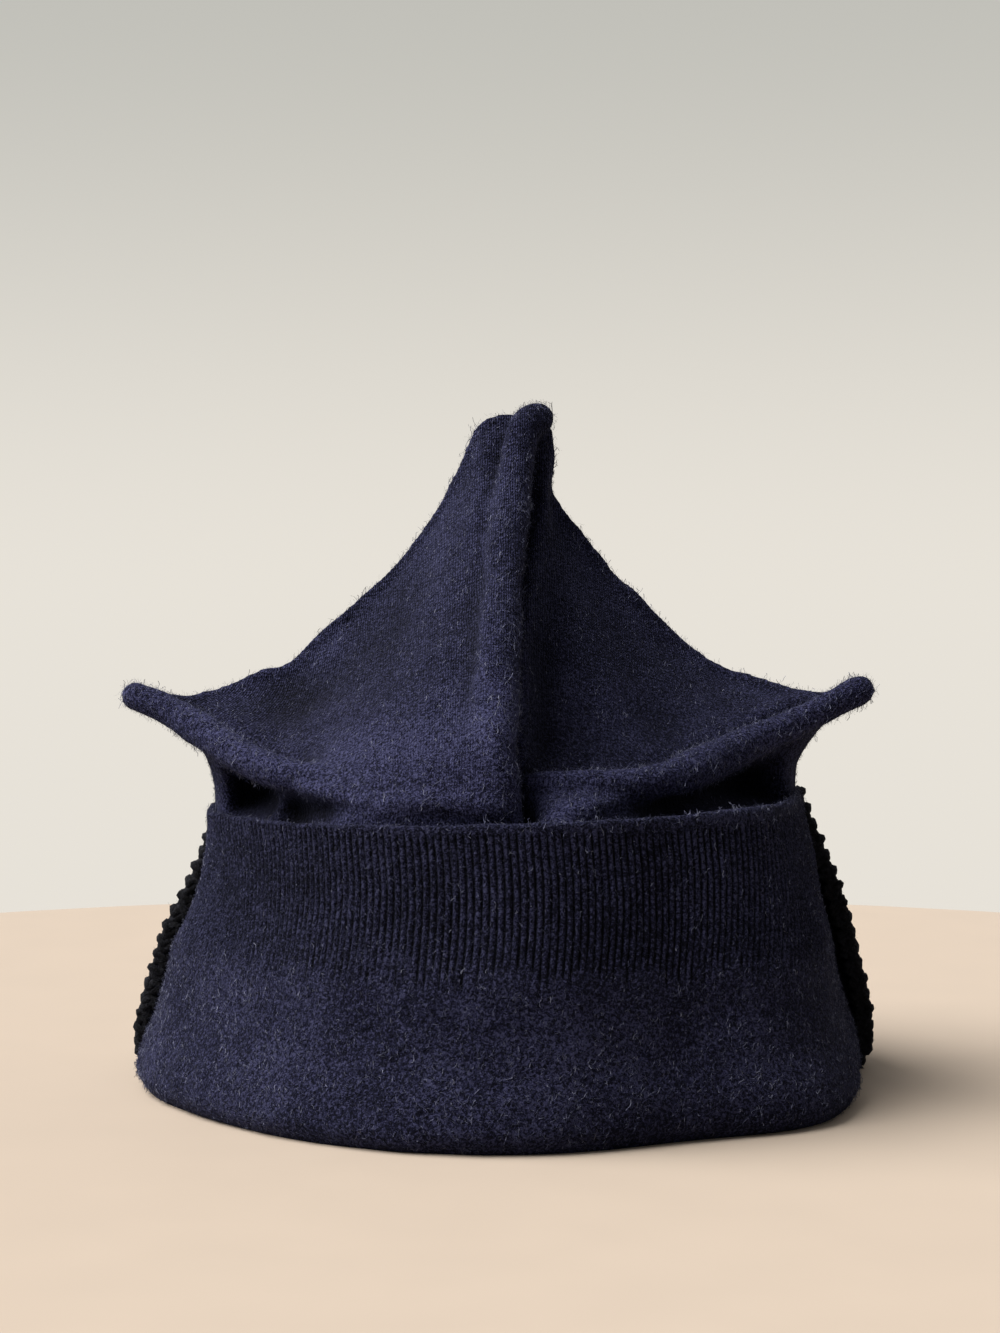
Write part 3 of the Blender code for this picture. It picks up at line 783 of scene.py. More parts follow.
def furrowed(rings, closing):
    """The bag's rings with furrows pressed in along both sides of each ridge, so that the ridges
    stand out as rolls, and with the pockets under the horns. Nothing goes past the closing line."""
    points = rings.reshape(-1, 3)
    columns = rings.shape[1]
    half = columns // 2
    line = closing[[k if k <= half else columns - k for k in range(columns)]]
    room = np.clip(line[None, :, 1] - rings[..., 1] - LEAST_ROOM, 0.0, 1.0).ravel()
    front = np.tile(np.arange(columns) <= half, rings.shape[0])
    push = np.zeros_like(points)
    share = np.linspace(0.0, 1.0, 120)
    for table, axis, low_side, high_side in FURROWS:
        line = guide(table, share)
        radius = RIDGE_RADIUS * smooth(table, share)[:, 3]
        apart = np.linalg.norm(points[:, None, :] - line[None, :, :], axis=2)
        nearest = apart.argmin(axis=1)
        distance = apart[np.arange(len(points)), nearest]
        near = bell(distance, FURROW_SPAN * radius[nearest])
        high = points[:, axis] > line[nearest, axis]
        for side, (depth, first, last, way) in ((~high, low_side), (high, high_side)):
            amount = depth * near * window(share[nearest], first, last) * side * front
            push += amount[:, None] * way
    for place, height, half_width, half_height, depth in POCKETS:
        amount = depth * bell(points[:, 0] - place, half_width)
        amount *= bell(points[:, 2] - height, half_height) * (points[:, 1] < 0.0)
        aside = -POCKET_ASIDE * math.copysign(1.0, place) if depth > 0.0 else 0.0
        push += amount[:, None] * (aside, 0.95, 0.0)
    depth = np.linalg.norm(push, axis=1)
    push *= (np.minimum(depth, ROOM_SHARE * room) / np.maximum(depth, 1.0e-9))[:, None]
    return (points + push).reshape(rings.shape)


def upper_crown():
    """The felted skin of the crown above the cuffs, with its ridges grown together with it."""
    low = np.linspace(SKIN_FOOT, 1.0, 6)[:-1]
    levels = np.concatenate([low, np.linspace(1.0, SKIN_HEAD, SKIN_RINGS)])
    closing = guide(CLOSING_LINE, np.linspace(-1.0, 1.0, CROWN_COLUMNS // 2 + 1))
    rings = furrowed(crown_rings(CROWN_COLUMNS, levels), closing)
    bag = stacked("bag", rings, closing)
    tables = {"peak_ridge": PEAK_RIDGE, "left_ridge": LEFT_RIDGE, "right_ridge": RIGHT_RIDGE}
    ridges = [ridge(name, table) for name, table in tables.items()]
    welt = guide(CLOSING_LINE, np.linspace(*WELT_TURNS, WELT_RINGS))
    ridges.append(roll("welt", welt, np.full(WELT_RINGS, WELT_RADIUS), WELT_SIDES))
    skin = joined("skin", [bag] + ridges)
    felt = skin.modifiers.new("felting", "REMESH")
    felt.mode = "VOXEL"
    felt.voxel_size = FELT_VOXEL
    felt.use_smooth_shade = True
    ease = skin.modifiers.new("easing", "SMOOTH")
    ease.factor = 0.5
    ease.iterations = FELT_EASING
    settled(skin)
    undulate(skin, CROWN_WAVES)
    # The depths also set painted shade in valleys and hollows and a painted highlight on rolls, in
    # the crown's material
    depth, broad = valleys(skin, VALLEY_ROUNDS)
    mark(skin.data, "valley", depth)
    mark(skin.data, "hollow", broad)
    mark(skin.data, "growth", np.clip(0.7 - 0.5 * depth, 0.1, 1.8))
    return skin


def make_crown(crown):
    """The crown: one felted bag with its rolled ridges, hollow, and open below."""
    levels = np.linspace(0.0, 0.93, 14)
    rings = crown_rings(CROWN_COLUMNS // 3 * 2, levels)
    rings[..., :2] *= 1.0 - HIDDEN_STEP / RIM_RADIUS
    boolean(crown, "UNION", stacked("lower_wall", list(rings)))
    boolean(crown, "DIFFERENCE", crown_cavity(crown))
    crown.name = "crown_felt"
    crown.data.shade_smooth()
    return crown


def emitter(made, name, keep=None):
    """A copy of a mesh, or of its faces whose corners all pass a test, for fuzz to grow on."""
    mesh = bmesh.new()
    mesh.from_mesh(made.data)
    drop = [vertex for vertex in mesh.verts if keep and not keep(vertex)]
    bmesh.ops.delete(mesh, geom=drop, context="VERTS")
    data = bpy.data.meshes.new(name)
    mesh.to_mesh(data)
    mesh.free()
    if "growth" not in data.attributes:
        mark(data, "growth", np.ones(len(data.vertices)))
    return placed(name, data)


# The cuffs

def cuff_section(azimuths, cuff, wall, rows, cap_rows):
    """Points, height and side of each corner of a cuff's closed section, at every azimuth: up
    its outer side, over the rounded top, down its inner side and in under the crown's wall."""
    top = cuff_top(azimuths)
    columns = []

    def put(radius, height, share, outside):
        height = np.broadcast_to(height, azimuths.shape)
        lean = cuff_lean(share, azimuths)
        columns.append((on_plan(azimuths, radius, lean, height), height, outside))

    def outer(share):
        return cuff_radius(azimuths, share, cuff)

    foot_share = (FOLD_THICKNESS + CLEARANCE) / CUFF_HEIGHT
    body_in = inner_radius(azimuths, foot_share) - CROWN_WALL - FOLD_REACH
    half = 0.5 * wall
    shoulder = 1.0 - half / CUFF_HEIGHT
    put(outer(0.0), 0.0 * top, 0.0, 0.0)
    for share in np.linspace(0.012, shoulder, rows):
        put(outer(share), share * top, share, 1.0)
    middle = outer(shoulder) - half
    for turn in np.linspace(0.0, math.pi, cap_rows + 2)[1:-1]:
        height = shoulder * top + half * math.sin(turn)
        put(middle + half * math.cos(turn), height, 1.0, 1.0 if turn < 2.0 else 0.0)
    for share in np.linspace(shoulder, 0.06, 12):
        put(outer(share) - wall, share * top, share, 0.0)
    share = FOLD_THICKNESS / CUFF_HEIGHT
    put(outer(share) - wall, FOLD_THICKNESS, share, 0.0)
    put(body_in, FOLD_THICKNESS, share, 0.0)
    for turn in (0.25, 0.5, 0.75):
        swell = 0.5 * FOLD_THICKNESS * math.sin(math.pi * turn)
        put(body_in - swell * 0.8, FOLD_THICKNESS * (1.0 - turn), share * (1.0 - turn), 0.0)
    put(body_in + 0.4 * FOLD_THICKNESS, 0.0, 0.0, 0.0)
    return columns


def cuff_band(name, azimuths, cuff, wall, rows, cap_rows):
    """A cuff as a closed band with soft ends. Its corners know how far round and how high they
    are, and whether they are on the outer side."""
    columns = cuff_section(azimuths, cuff, wall, rows, cap_rows)
    points = np.stack([column[0] for column in columns], axis=1)
    height = np.stack([column[1] for column in columns], axis=1)
    outside = np.array([column[2] for column in columns])
    count, around = points.shape[:2]

    # The last stretch at each end closes towards the middle of the wall
    arc = np.radians(azimuths - azimuths[0]) * RIM_RADIUS
    near_end = np.minimum(arc, arc[-1] - arc)
    t = np.clip(1.0 - near_end / (0.5 * wall), 0.0, 1.0)
    closing = 1.0 - np.sqrt(np.clip(1.0 - t**2, 0.0, 1.0))
    away = points[..., :2] / np.linalg.norm(points[..., :2], axis=2, keepdims=True)
    inward = 0.5 * wall * closing
    if cuff == 0:
        inward += RIGHT_TAPER * window(azimuths / 90.0, 0.90, 2.0, 0.35)
    points[..., :2] -= away * inward[:, None, None] * outside[None, :, None]

    faces = []
    for low in range(0, (count - 1) * around, around):
        high = low + around
        for k in range(around):
            n = (k + 1) % around
            faces.append((low + k, high + k, high + n, low + n))
    faces.append(range(around)[::-1])
    faces.append(range((count - 1) * around, count * around))
    made = solid_of(name, points.reshape(-1, 3), faces)
    share = (azimuths - azimuths[0]) / (azimuths[-1] - azimuths[0])
    mark(made.data, "around", np.repeat(share, around))
    mark(made.data, "up", height)
    mark(made.data, "outside", np.tile(outside, count))
    return made


def marked(made, name):
    """The numbers stored for the corners of a mesh."""
    held = np.empty(len(made.data.vertices), dtype=np.float32)
    made.data.attributes[name].data.foreach_get("value", held)
    return held


def hang(cuff):
    """Moves the ribs' places sideways where the cuff flares, so that they hang straight down."""
    places = corners_and_normals(cuff.data)[0]
    height = places[:, 2]
    lean = cuff_lean(height / CUFF_HEIGHT, height)
    azimuth = np.degrees(np.arctan2(places[:, 0] - lean, -places[:, 1]))
    flare = cuff_radius(azimuth, height / CUFF_HEIGHT, 0) / cuff_radius(azimuth, 0.93, 0) - 1.0
    turn = np.radians(azimuth)
    shift = np.sin(turn) / np.maximum(np.cos(turn), 0.45) * flare
    around = marked(cuff, "around")
    around += shift / math.radians(2.0 * FRONT_CUFF_HALF_SPAN)
    cuff.data.attributes["around"].data.foreach_set("value", around)


def make_front_cuff():
    """The front cuff: the felted hem turned up, ribbed in its upper half."""
    columns = RIB_COUNT * POINTS_PER_RIB + 1
    azimuths = np.linspace(-FRONT_CUFF_HALF_SPAN, FRONT_CUFF_HALF_SPAN, columns)
    cuff = cuff_band("front_cuff_felt", azimuths, 0, FRONT_CUFF_WALL, *FRONT_ROWS)
    hang(cuff)
    undulate(cuff, CUFF_WAVES, marked(cuff, "outside"))
    return cuff


def back_azimuths(columns):
    gap = math.degrees(CLEARANCE / RIM_RADIUS)
    start = FRONT_CUFF_HALF_SPAN + 1.5 * gap
    return np.linspace(start, 360.0 - start, columns)


def make_back_band():
    """The cloth that the back cuff's stitches stand on."""
    azimuths = back_azimuths(BACK_COLUMNS)
    band = cuff_band("back_cuff_band", azimuths, 1, BACK_CUFF_WALL, *BACK_ROWS)
    places = corners_and_normals(band.data)[0]
    away = places * (1.0, 1.0, 0.0)
    away /= np.linalg.norm(away, axis=1, keepdims=True)
    places -= away * (BAND_SINK * marked(band, "outside"))[:, None]
    band.data.vertices.foreach_set("co", places.ravel())
    band.data.update()
    return band


def in_from(end):
    """Points from the inner edge of the back cuff's end out to a row's first point."""
    steps = np.linspace(0.80 * BACK_CUFF_WALL, 0.0, 6)[:-1]
    away = np.array((end[0], end[1], 0.0)) / math.hypot(end[0], end[1])
    return end - away * steps[:, None]


def stitch_lines():
    """A line round the back cuff for each row of garter stitches."""
    azimuths = back_azimuths(BACK_COLUMNS * 3)[1:-1]
    rows = int(round((CUFF_HEIGHT - GARTER_PITCH) / GARTER_PITCH))
    points = []
    edges = []
    for row in range(rows + 1):
        height = 0.5 * GARTER_PITCH + row * (CUFF_HEIGHT - 1.15 * GARTER_PITCH) / rows
        share = height / CUFF_HEIGHT
        radius = cuff_radius(azimuths, share, 1) - GARTER_SINK
        up = np.maximum(share * cuff_top(azimuths), LOWEST_ROW)
        line = on_plan(azimuths, radius, cuff_lean(share, azimuths), up)
        line = np.concatenate([in_from(line[0]), line, in_from(line[-1])[::-1]])
        first = len(points)
        points += [tuple(point) for point in line]
        edges += [(k, k + 1) for k in range(first, len(points) - 1)]
    data = bpy.data.meshes.new("back_cuff_stitches")
    data.from_pydata(points, edges, [])
    return placed("back_cuff_stitches", data)


# Node trees

class Tree:
    """A node tree, with short ways to add nodes to it."""

    def __init__(self, data):
        self.data = data

    def give(self, socket, value):
        """Sets a socket to a value, or links it to another socket."""
        if isinstance(value, bpy.types.NodeSocket):
            self.data.links.new(value, socket)
        else:
            socket.default_value = value

    def add(self, kind, inputs=(), **settings):
        """A node with its settings and its inputs given."""
        node = self.data.nodes.new(kind)
        for name, value in settings.items():
            setattr(node, name, value)
        for key, value in inputs.items() if isinstance(inputs, dict) else enumerate(inputs):
            self.give(node.inputs[key], value)
        return node

    def first(self, kind, inputs=(), **settings):
        """The first output of such a node."""
        return self.add(kind, inputs, **settings).outputs[0]

    def maths(self, operation, *values):
        return self.first("ShaderNodeMath", values, operation=operation)

    def times(self, value, *others):
        """Several values multiplied."""
        for other in others:
            value = self.maths("MULTIPLY", value, other)
        return value

    def vector(self, operation, *values):
        return self.first("ShaderNodeVectorMath", values, operation=operation)

    def scaled(self, vector, amount):
        inputs = {0: vector, "Scale": amount}
        return self.first("ShaderNodeVectorMath", inputs, operation="SCALE")

    def eased(self, value, low, high, start=0.0, end=1.0):
        """A value taken smoothly from one range to another."""
        inputs = (value, low, high, start, end)
        return self.first("ShaderNodeMapRange", inputs, interpolation_type="SMOOTHSTEP")

    def noise(self, at, scale, detail, roughness=0.5, twist=0.0):
        """Cloudy noise as a value, and as a colour."""
        inputs = {"Vector": at, "Scale": scale, "Detail": detail}
        inputs |= {"Roughness": roughness, "Distortion": twist}
        return self.add("ShaderNodeTexNoise", inputs).outputs

    def chance(self, number):
        """A random share for each whole number."""
        return self.first("ShaderNodeTexWhiteNoise", {"W": number}, noise_dimensions="1D")

    def mixed(self, share, start, end):
        """A colour between two."""
        node = self.add("ShaderNodeMix", {0: share, 6: start, 7: end}, data_type="RGBA")
        return node.outputs[2]

    def marked(self, name):
        """A number stored on the mesh, in a geometry tree."""
        node = self.add("GeometryNodeInputNamedAttribute", {"Name": name}, data_type="FLOAT")
        return node.outputs["Attribute"]

    def seen(self, name):
        """A number stored on the mesh, in a material."""
        return self.add("ShaderNodeAttribute", attribute_name=name).outputs["Fac"]


def new_group(name, kind, inputs, outputs):
    """An empty node group, from the names and kinds of its inputs and outputs."""
    data = bpy.data.node_groups.new(name, kind)
    for way, sockets in (("INPUT", inputs), ("OUTPUT", outputs)):
        for label, socket in sockets.items():
            data.interface.new_socket(label, in_out=way, socket_type="NodeSocket" + socket)
    given = data.nodes.new("NodeGroupInput").outputs
    result = data.nodes.new("NodeGroupOutput").inputs
    return Tree(data), given, result


def geometry_tree(name, sizes):
    """An empty geometry tree with its sizes as named inputs, and the material."""
    kinds = {label: "Int" if isinstance(size, int) else "Float" for label, size in sizes.items()}
    inputs = {"Geometry": "Geometry"} | kinds | {"Material": "Material"}
    return new_group(name, "GeometryNodeTree", inputs, {"Geometry": "Geometry"})


def closed_tree(tree, geometry, given, result):
    """Ends a geometry tree with plain geometry and its material."""
    plain = tree.first("GeometryNodeRealizeInstances", {"Geometry": geometry})
    inputs = {"Geometry": plain, "Material": given["Material"]}
    tree.give(result[0], tree.first("GeometryNodeSetMaterial", inputs))
    return tree.data


def grown(made, tree, values):
    """Runs a geometry tree on an object with its inputs set, and keeps the plain result."""
    modifier = made.modifiers.new(tree.name, "NODES")
    modifier.node_group = tree
    for item in tree.interface.items_tree:
        if item.in_out == "INPUT" and item.name in values:
            modifier[item.identifier] = values[item.name]
    return settled(made)


def rib_tree():
    """Grooves between the ribs of the front cuff, each ending at its own height."""
    tree, given, result = geometry_tree("rib_grooves", RIBS)
    around = tree.marked("around")
    up = tree.marked("up")
    place = tree.first("GeometryNodeInputPosition")
    drift = tree.maths("SUBTRACT", tree.noise(place, 70.0, 2.0)[0], 0.5)
    turn = tree.times(around, given["Ribs"], math.tau)
    turn = tree.maths("ADD", turn, tree.times(drift, given["Wander"]))
    wave = tree.maths("MULTIPLY_ADD", tree.maths("COSINE", turn), 0.5, 0.5)
    groove = tree.maths("POWER", wave, GROOVE_SHARPNESS)
    rib = tree.maths("FLOOR", tree.maths("MULTIPLY_ADD", around, given["Ribs"], 0.5))
    ragged = tree.times(tree.maths("SUBTRACT", tree.chance(rib), 0.5), given["Raggedness"])
    foot = tree.maths("ADD", given["Foot"], tree.times(ragged, 2.0))
    starts = tree.eased(up, foot, tree.maths("ADD", foot, RIB_START))
    ends = tree.eased(up, given["Head"], tree.maths("ADD", given["Head"], RIB_END), 1.0, 0.0)
    zone = tree.times(starts, ends, tree.marked("outside"))
    depth = tree.eased(tree.noise(place, 320.0, 2.0)[0], 0.3, 0.7, 0.55, 1.15)
    groove = tree.times(groove, zone, depth)
    sink = tree.times(groove, given["Groove Depth"], -1.0)
    # The stored groove depth also sets painted shade in the cuff's material
    held = tree.first(
        "GeometryNodeStoreNamedAttribute",
        {"Geometry": given["Geometry"], "Name": "groove", "Value": groove},
        data_type="FLOAT",
        domain="POINT",
    )
    offset = tree.scaled(tree.first("GeometryNodeInputNormal"), sink)
    pressed = tree.first("GeometryNodeSetPosition", {"Geometry": held, "Offset": offset})
    return closed_tree(tree, pressed, given, result)


def garter_tree():
    """Purl bumps of garter stitch: each row's yarn runs in two interlocking waves."""
    tree, given, result = geometry_tree("garter_stitches", GARTER)
    rows = tree.first("GeometryNodeMeshToCurve", {"Mesh": given["Geometry"]})
    spacing = tree.maths("DIVIDE", given["Stitch"], given["Points to a Stitch"])
    fine = tree.first(
        "GeometryNodeResampleCurve", {"Curve": rows, "Length": spacing}, mode="LENGTH"
    )
    length = tree.add("GeometryNodeSplineParameter").outputs["Length"]
    place = tree.first("GeometryNodeInputPosition")
    height = tree.add("ShaderNodeSeparateXYZ", [place]).outputs["Z"]
    away = tree.vector("NORMALIZE", tree.vector("MULTIPLY", place, (1.0, 1.0, 0.0)))
    row = tree.maths("ROUND", tree.maths("DIVIDE", height, given["Row Height"]))
    turn = tree.times(tree.maths("DIVIDE", length, given["Stitch"]), math.tau)
    turn = tree.maths("ADD", turn, tree.times(tree.chance(row), math.tau))
    uneven = tree.vector("SUBTRACT", tree.noise(place, 260.0, 1.0)["Color"], (0.5, 0.5, 0.5))
    uneven = tree.scaled(uneven, given["Unevenness"])
    both = tree.add("GeometryNodeJoinGeometry")
    for side, start in ((1.0, 0.0), (-1.0, math.pi)):
        wave = tree.maths("COSINE", tree.maths("ADD", turn, start))
        share = tree.maths("MULTIPLY_ADD", wave, 0.21 * side, 0.22 * side)
        out = tree.scaled(away, tree.times(wave, given["Bulge"]))
        lift = tree.first("ShaderNodeCombineXYZ", {"Z": tree.times(share, given["Row Height"])})
        offset = tree.vector("ADD", tree.vector("ADD", out, lift), uneven)
        moved = tree.first("GeometryNodeSetPosition", {"Geometry": fine, "Offset": offset})
        tree.give(both.inputs[0], moved)
    ring = tree.first(
        "GeometryNodeCurvePrimitiveCircle",
        {"Resolution": 6, "Radius": given["Yarn Radius"]},
        mode="RADIUS",
    )
    yarn = tree.first(
        "GeometryNodeCurveToMesh",
        {"Curve": both.outputs[0], "Profile Curve": ring, "Fill Caps": True},
    )
    soft = tree.first("GeometryNodeSetShadeSmooth", {"Geometry": yarn})
    return closed_tree(tree, soft, given, result)


def fuzz_tree():
    """Short wool fibres standing and lying on a felted face."""
    tree, given, result = geometry_tree("wool_fuzz", SHORT_FUZZ)
    spread = tree.add(
        "GeometryNodeDistributePointsOnFaces",
        {
            "Mesh": given["Geometry"],
            "Density": tree.times(given["Density"], tree.marked("growth")),
            "Seed": given["Seed"],
        },
        distribute_method="RANDOM",
    ).outputs
    toss = tree.first(
        "FunctionNodeRandomValue",
        {0: (-1.0, -1.0, -1.0), 1: (1.0, 1.0, 1.0), "Seed": given["Seed"]},
        data_type="FLOAT_VECTOR",
    )
    flat = tree.vector("CROSS_PRODUCT", toss, spread["Normal"])
    stand = tree.scaled(spread["Normal"], given["Rise"])
    heading = tree.vector("ADD", tree.vector("NORMALIZE", flat), stand)
    faced = tree.first("FunctionNodeAlignRotationToVector", {"Vector": heading}, axis="Z")
    size = tree.add("FunctionNodeRandomValue", {2: 0.35, 3: 1.5}, data_type="FLOAT").outputs[1]
    tall = tree.maths("MULTIPLY_ADD", tree.marked("growth"), 0.5, 0.5)
    long = tree.times(size, given["Length"], tall)
    straight = tree.first(
        "GeometryNodeCurvePrimitiveLine",
        {"Start": (0.0, 0.0, 0.0), "End": (0.0, 0.0, 1.0)},
        mode="POINTS",
    )
    strand = tree.first(
        "GeometryNodeResampleCurve", {"Curve": straight, "Count": given["Points"]}, mode="COUNT"
    )
    fibres = tree.first(
        "GeometryNodeInstanceOnPoints",
        {
            "Points": spread["Points"],
            "Instance": strand,
            "Rotation": faced,
            "Scale": tree.first("ShaderNodeCombineXYZ", (1.0, 1.0, long)),
        },
    )
    loose = tree.first("GeometryNodeRealizeInstances", {"Geometry": fibres})
    along = tree.add("GeometryNodeSplineParameter").outputs["Factor"]
    place = tree.first("GeometryNodeInputPosition")
    swirl = tree.vector("SUBTRACT", tree.noise(place, 900.0, 1.0)["Color"], (0.5, 0.5, 0.5))
    bend = tree.scaled(swirl, tree.times(along, 2.0, given["Curl"]))
    above = tree.vector("MAXIMUM", tree.vector("ADD", place, bend), (-1.0, -1.0, FUZZ_LOWEST))
    curled = tree.first("GeometryNodeSetPosition", {"Geometry": loose, "Position": above})
    half = tree.times(given["Thickness"], 0.5)
    ends = (tree.times(half, -1.0), half)
    ends = [tree.first("ShaderNodeCombineXYZ", {"X": end}) for end in ends]
    edge = tree.first(
        "GeometryNodeCurvePrimitiveLine", {"Start": ends[0], "End": ends[1]}, mode="POINTS"
    )
    fibre = tree.first("GeometryNodeCurveToMesh", {"Curve": curled, "Profile Curve": edge})
    return closed_tree(tree, fibre, given, result)


# Effects that the wools share

def heather_group():
    """Dyed wool of mixed fibres: broad clouds, fine mottling and sparse pale flecks."""
    colours = {"Dark": "Color", "Middle": "Color", "Pale": "Color"}
    tree, given, result = new_group(
        "heather",
        "ShaderNodeTree",
        {"Vector": "Vector"} | colours | {"Mottle Size": "Float", "Fleck Share": "Float"},
        {"Color": "Color", "Height": "Float"},
    )
    at = given["Vector"]
    often = tree.maths("DIVIDE", 1.0, given["Mottle Size"])
    clouds = tree.noise(at, 42.0, 3.0)[0]
    mottle = tree.noise(at, often, 3.0, 0.55, 0.8)[0]
    curls = tree.noise(at, tree.times(often, 0.45), 4.0, 0.7, 2.6)[0]
    tone = tree.maths("MULTIPLY_ADD", mottle, 0.6, 0.0)
    tone = tree.maths("MULTIPLY_ADD", curls, 0.4, tone)
    tone = tree.maths("SUBTRACT", tone, 0.5 * CLOUD_SHARE)
    tone = tree.maths("MULTIPLY_ADD", clouds, CLOUD_SHARE, tone)
    base = tree.mixed(tree.eased(tone, 0.455, 0.515), given["Dark"], given["Middle"])
    bright = tree.times(tree.eased(tone, 0.515, 0.570), given["Fleck Share"])
    tree.give(result["Color"], tree.mixed(bright, base, given["Pale"]))
    tree.give(result["Height"], tone)
    return tree.data


def knit_group():
    """Height of plain knitting: columns of V stitches, softened where the felt closes over."""
    tree, given, result = new_group(
        "plain_knit",
        "ShaderNodeTree",
        {"Across": "Float", "Along": "Float", "Vector": "Vector", "Felting": "Float"},
        {"Height": "Float", "Furrow": "Float"},
    )
    at = given["Vector"]
    drift = tree.maths("SUBTRACT", tree.noise(at, 160.0, 2.0)[0], 0.5)
    wale = tree.maths("FRACT", tree.maths("MULTIPLY_ADD", drift, 0.9, given["Across"]))
    leg = tree.maths("ABSOLUTE", tree.maths("MULTIPLY_ADD", wale, 2.0, -1.0))
    slope = tree.maths("MULTIPLY_ADD", leg, -0.7, given["Along"])
    loop = tree.maths("COSINE", tree.times(slope, math.tau))
    loop = tree.maths("MULTIPLY_ADD", loop, 0.5, 0.5)
    furrow = tree.maths("SINE", tree.times(leg, math.pi))
    stitch = tree.times(tree.maths("MULTIPLY_ADD", loop, 0.55, 0.45), furrow)
    cover = tree.eased(tree.noise(at, 230.0, 4.0)[0], 0.35, 0.7)
    shown = tree.maths("SUBTRACT", 1.0, tree.times(cover, given["Felting"]))
    tree.give(result["Height"], tree.times(stitch, shown))
    tree.give(result["Furrow"], tree.times(furrow, shown))
    return tree.data


def felt_group():
    """Height of matted wool: swirling short fibres over soft lumps."""
    tree, given, result = new_group(
        "matted_wool", "ShaderNodeTree", {"Vector": "Vector", "Size": "Float"}, {"Height": "Float"}
    )
    often = tree.maths("DIVIDE", 1.0, given["Size"])
    layers = []
    for scale, detail, twist, share in FELT_LAYERS:
        layer = tree.noise(given["Vector"], tree.times(often, scale), detail, 0.5, twist)[0]
        layers.append(tree.times(layer, share))
    total = tree.maths("ADD", tree.maths("ADD", layers[0], layers[1]), layers[2])
    tree.give(result["Height"], total)
    return tree.data


class Wool:
    """A wool material, begun with its heather colours and its coordinates."""

    def __init__(self, name, groups, colours, finish):
        self.material = bpy.data.materials.new(name)
        self.material.use_nodes = True
        self.tree = Tree(self.material.node_tree)
        self.shader = self.material.node_tree.nodes["Principled BSDF"].inputs
        self.groups = groups
        self.at = self.tree.add("ShaderNodeTexCoord").outputs["Object"]
        mottle_size, fleck_share, self.rough, self.sheen, self.specular = finish
        inputs = {"Mottle Size": mottle_size, "Fleck Share": fleck_share}
        inputs |= dict(zip(("Dark", "Middle", "Pale"), colours))
        self.heather = self.use("heather", inputs)

    def use(self, group, inputs):
        """The outputs of a shared group, placed in this material."""
        inputs = {"Vector": self.at} | inputs
        return self.tree.add("ShaderNodeGroup", inputs, node_tree=self.groups[group]).outputs

    def end(self, shade=None, height=None, distance=0.0):
        """Gives the shader its colour, roughness, sheen and bump."""
        tree = self.tree
        colour = self.heather["Color"]
        if shade is not None:
            colour = tree.scaled(colour, shade)
        tree.give(self.shader["Base Color"], colour)
        tree.give(self.shader["Roughness"], tree.eased(self.heather["Height"], *self.rough))
        self.shader["Sheen Weight"].default_value = self.sheen
        self.shader["Sheen Roughness"].default_value = SHEEN_ROUGHNESS
        self.shader["Sheen Tint"].default_value = SHEEN_TINT
        self.shader["Specular IOR Level"].default_value = self.specular
        if height is not None:
            inputs = {"Height": height, "Distance": distance, "Strength": 1.0}
            tree.give(self.shader["Normal"], tree.first("ShaderNodeBump", inputs))
        return self.material


def felt_material(groups):
    """The crown: navy heather, its fine knit still showing through the felting, with painted shade
    in its valleys, hollows and stitch gaps and a painted highlight on its rolls.
    """
    wool = Wool("navy_felted_knit", groups, NAVY, CROWN_FINISH)
    tree = wool.tree
    x, y, z = tree.add("ShaderNodeSeparateXYZ", [wool.at]).outputs

    # The knit's columns and rows follow the side walls round and the peak up
    turned = tree.eased(tree.maths("ABSOLUTE", x), *KNIT_TURNS)
    depth = tree.times(tree.times(y, tree.maths("SIGN", x)), turned)
    across = tree.maths("DIVIDE", tree.maths("ADD", x, depth), CROWN_WALE)
    slant = tree.maths("ABSOLUTE", tree.maths("SUBTRACT", y, CLOSING_DEPTH))
    climb = tree.maths("MULTIPLY_ADD", z, KNIT_CLIMB, tree.times(slant, -KNIT_SLANT))
    along = tree.maths("DIVIDE", climb, CROWN_COURSE)
    knit = wool.use("knit", {"Across": across, "Along": along, "Felting": FELTING})
    matted = wool.use("felt", {"Size": CROWN_MATTING})[0]

    # The felting hides the knit low down and on the rolls. Painted shade darkens the gaps between
    # stitches where the knit shows, so mostly on the upper faces, and the valleys and broad
    # hollows;
    # a painted highlight lightens the rolls
    valley = tree.seen("valley")
    high = tree.eased(z, *KNIT_HEIGHTS)
    clear = tree.maths("MAXIMUM", high, tree.eased(valley, *KNIT_SHOWS))
    clear = tree.times(clear, tree.maths("MULTIPLY_ADD", high, 0.65, 0.35))
    lost = tree.eased(knit["Furrow"], *STITCH_GAP_PAINTED_SHADE)
    shade = tree.times(
        tree.maths("SUBTRACT", 1.0, tree.times(lost, clear)),
        tree.eased(valley, *VALLEY_PAINTED_SHADE),
        tree.eased(valley, *ROLL_PAINTED_HIGHLIGHT),
        tree.eased(tree.seen("hollow"), *HOLLOW_PAINTED_SHADE),
    )
    height = tree.times(knit["Height"], clear, KNIT_RELIEF)
    height = tree.maths("MULTIPLY_ADD", matted, FELT_RELIEF, height)
    return wool.end(shade, height, CROWN_BUMP)


def rib_material(groups):
    """The front cuff: navy felt, with painted shade in the furrows between its ribs and over the
    ribbed band.
    """
    wool = Wool("navy_ribbed_felt", groups, NAVY, RIB_FINISH)
    tree = wool.tree
    # Painted shade in the rib grooves, and over the ribbed band above the ribs' foot
    shade = tree.eased(tree.seen("groove"), *GROOVE_PAINTED_SHADE)
    above = tree.eased(tree.seen("up"), *RIB_BAND_PAINTED_SHADE)
    matted = wool.use("felt", {"Size": RIB_MATTING})[0]
    return wool.end(tree.times(shade, above), matted, RIB_BUMP)


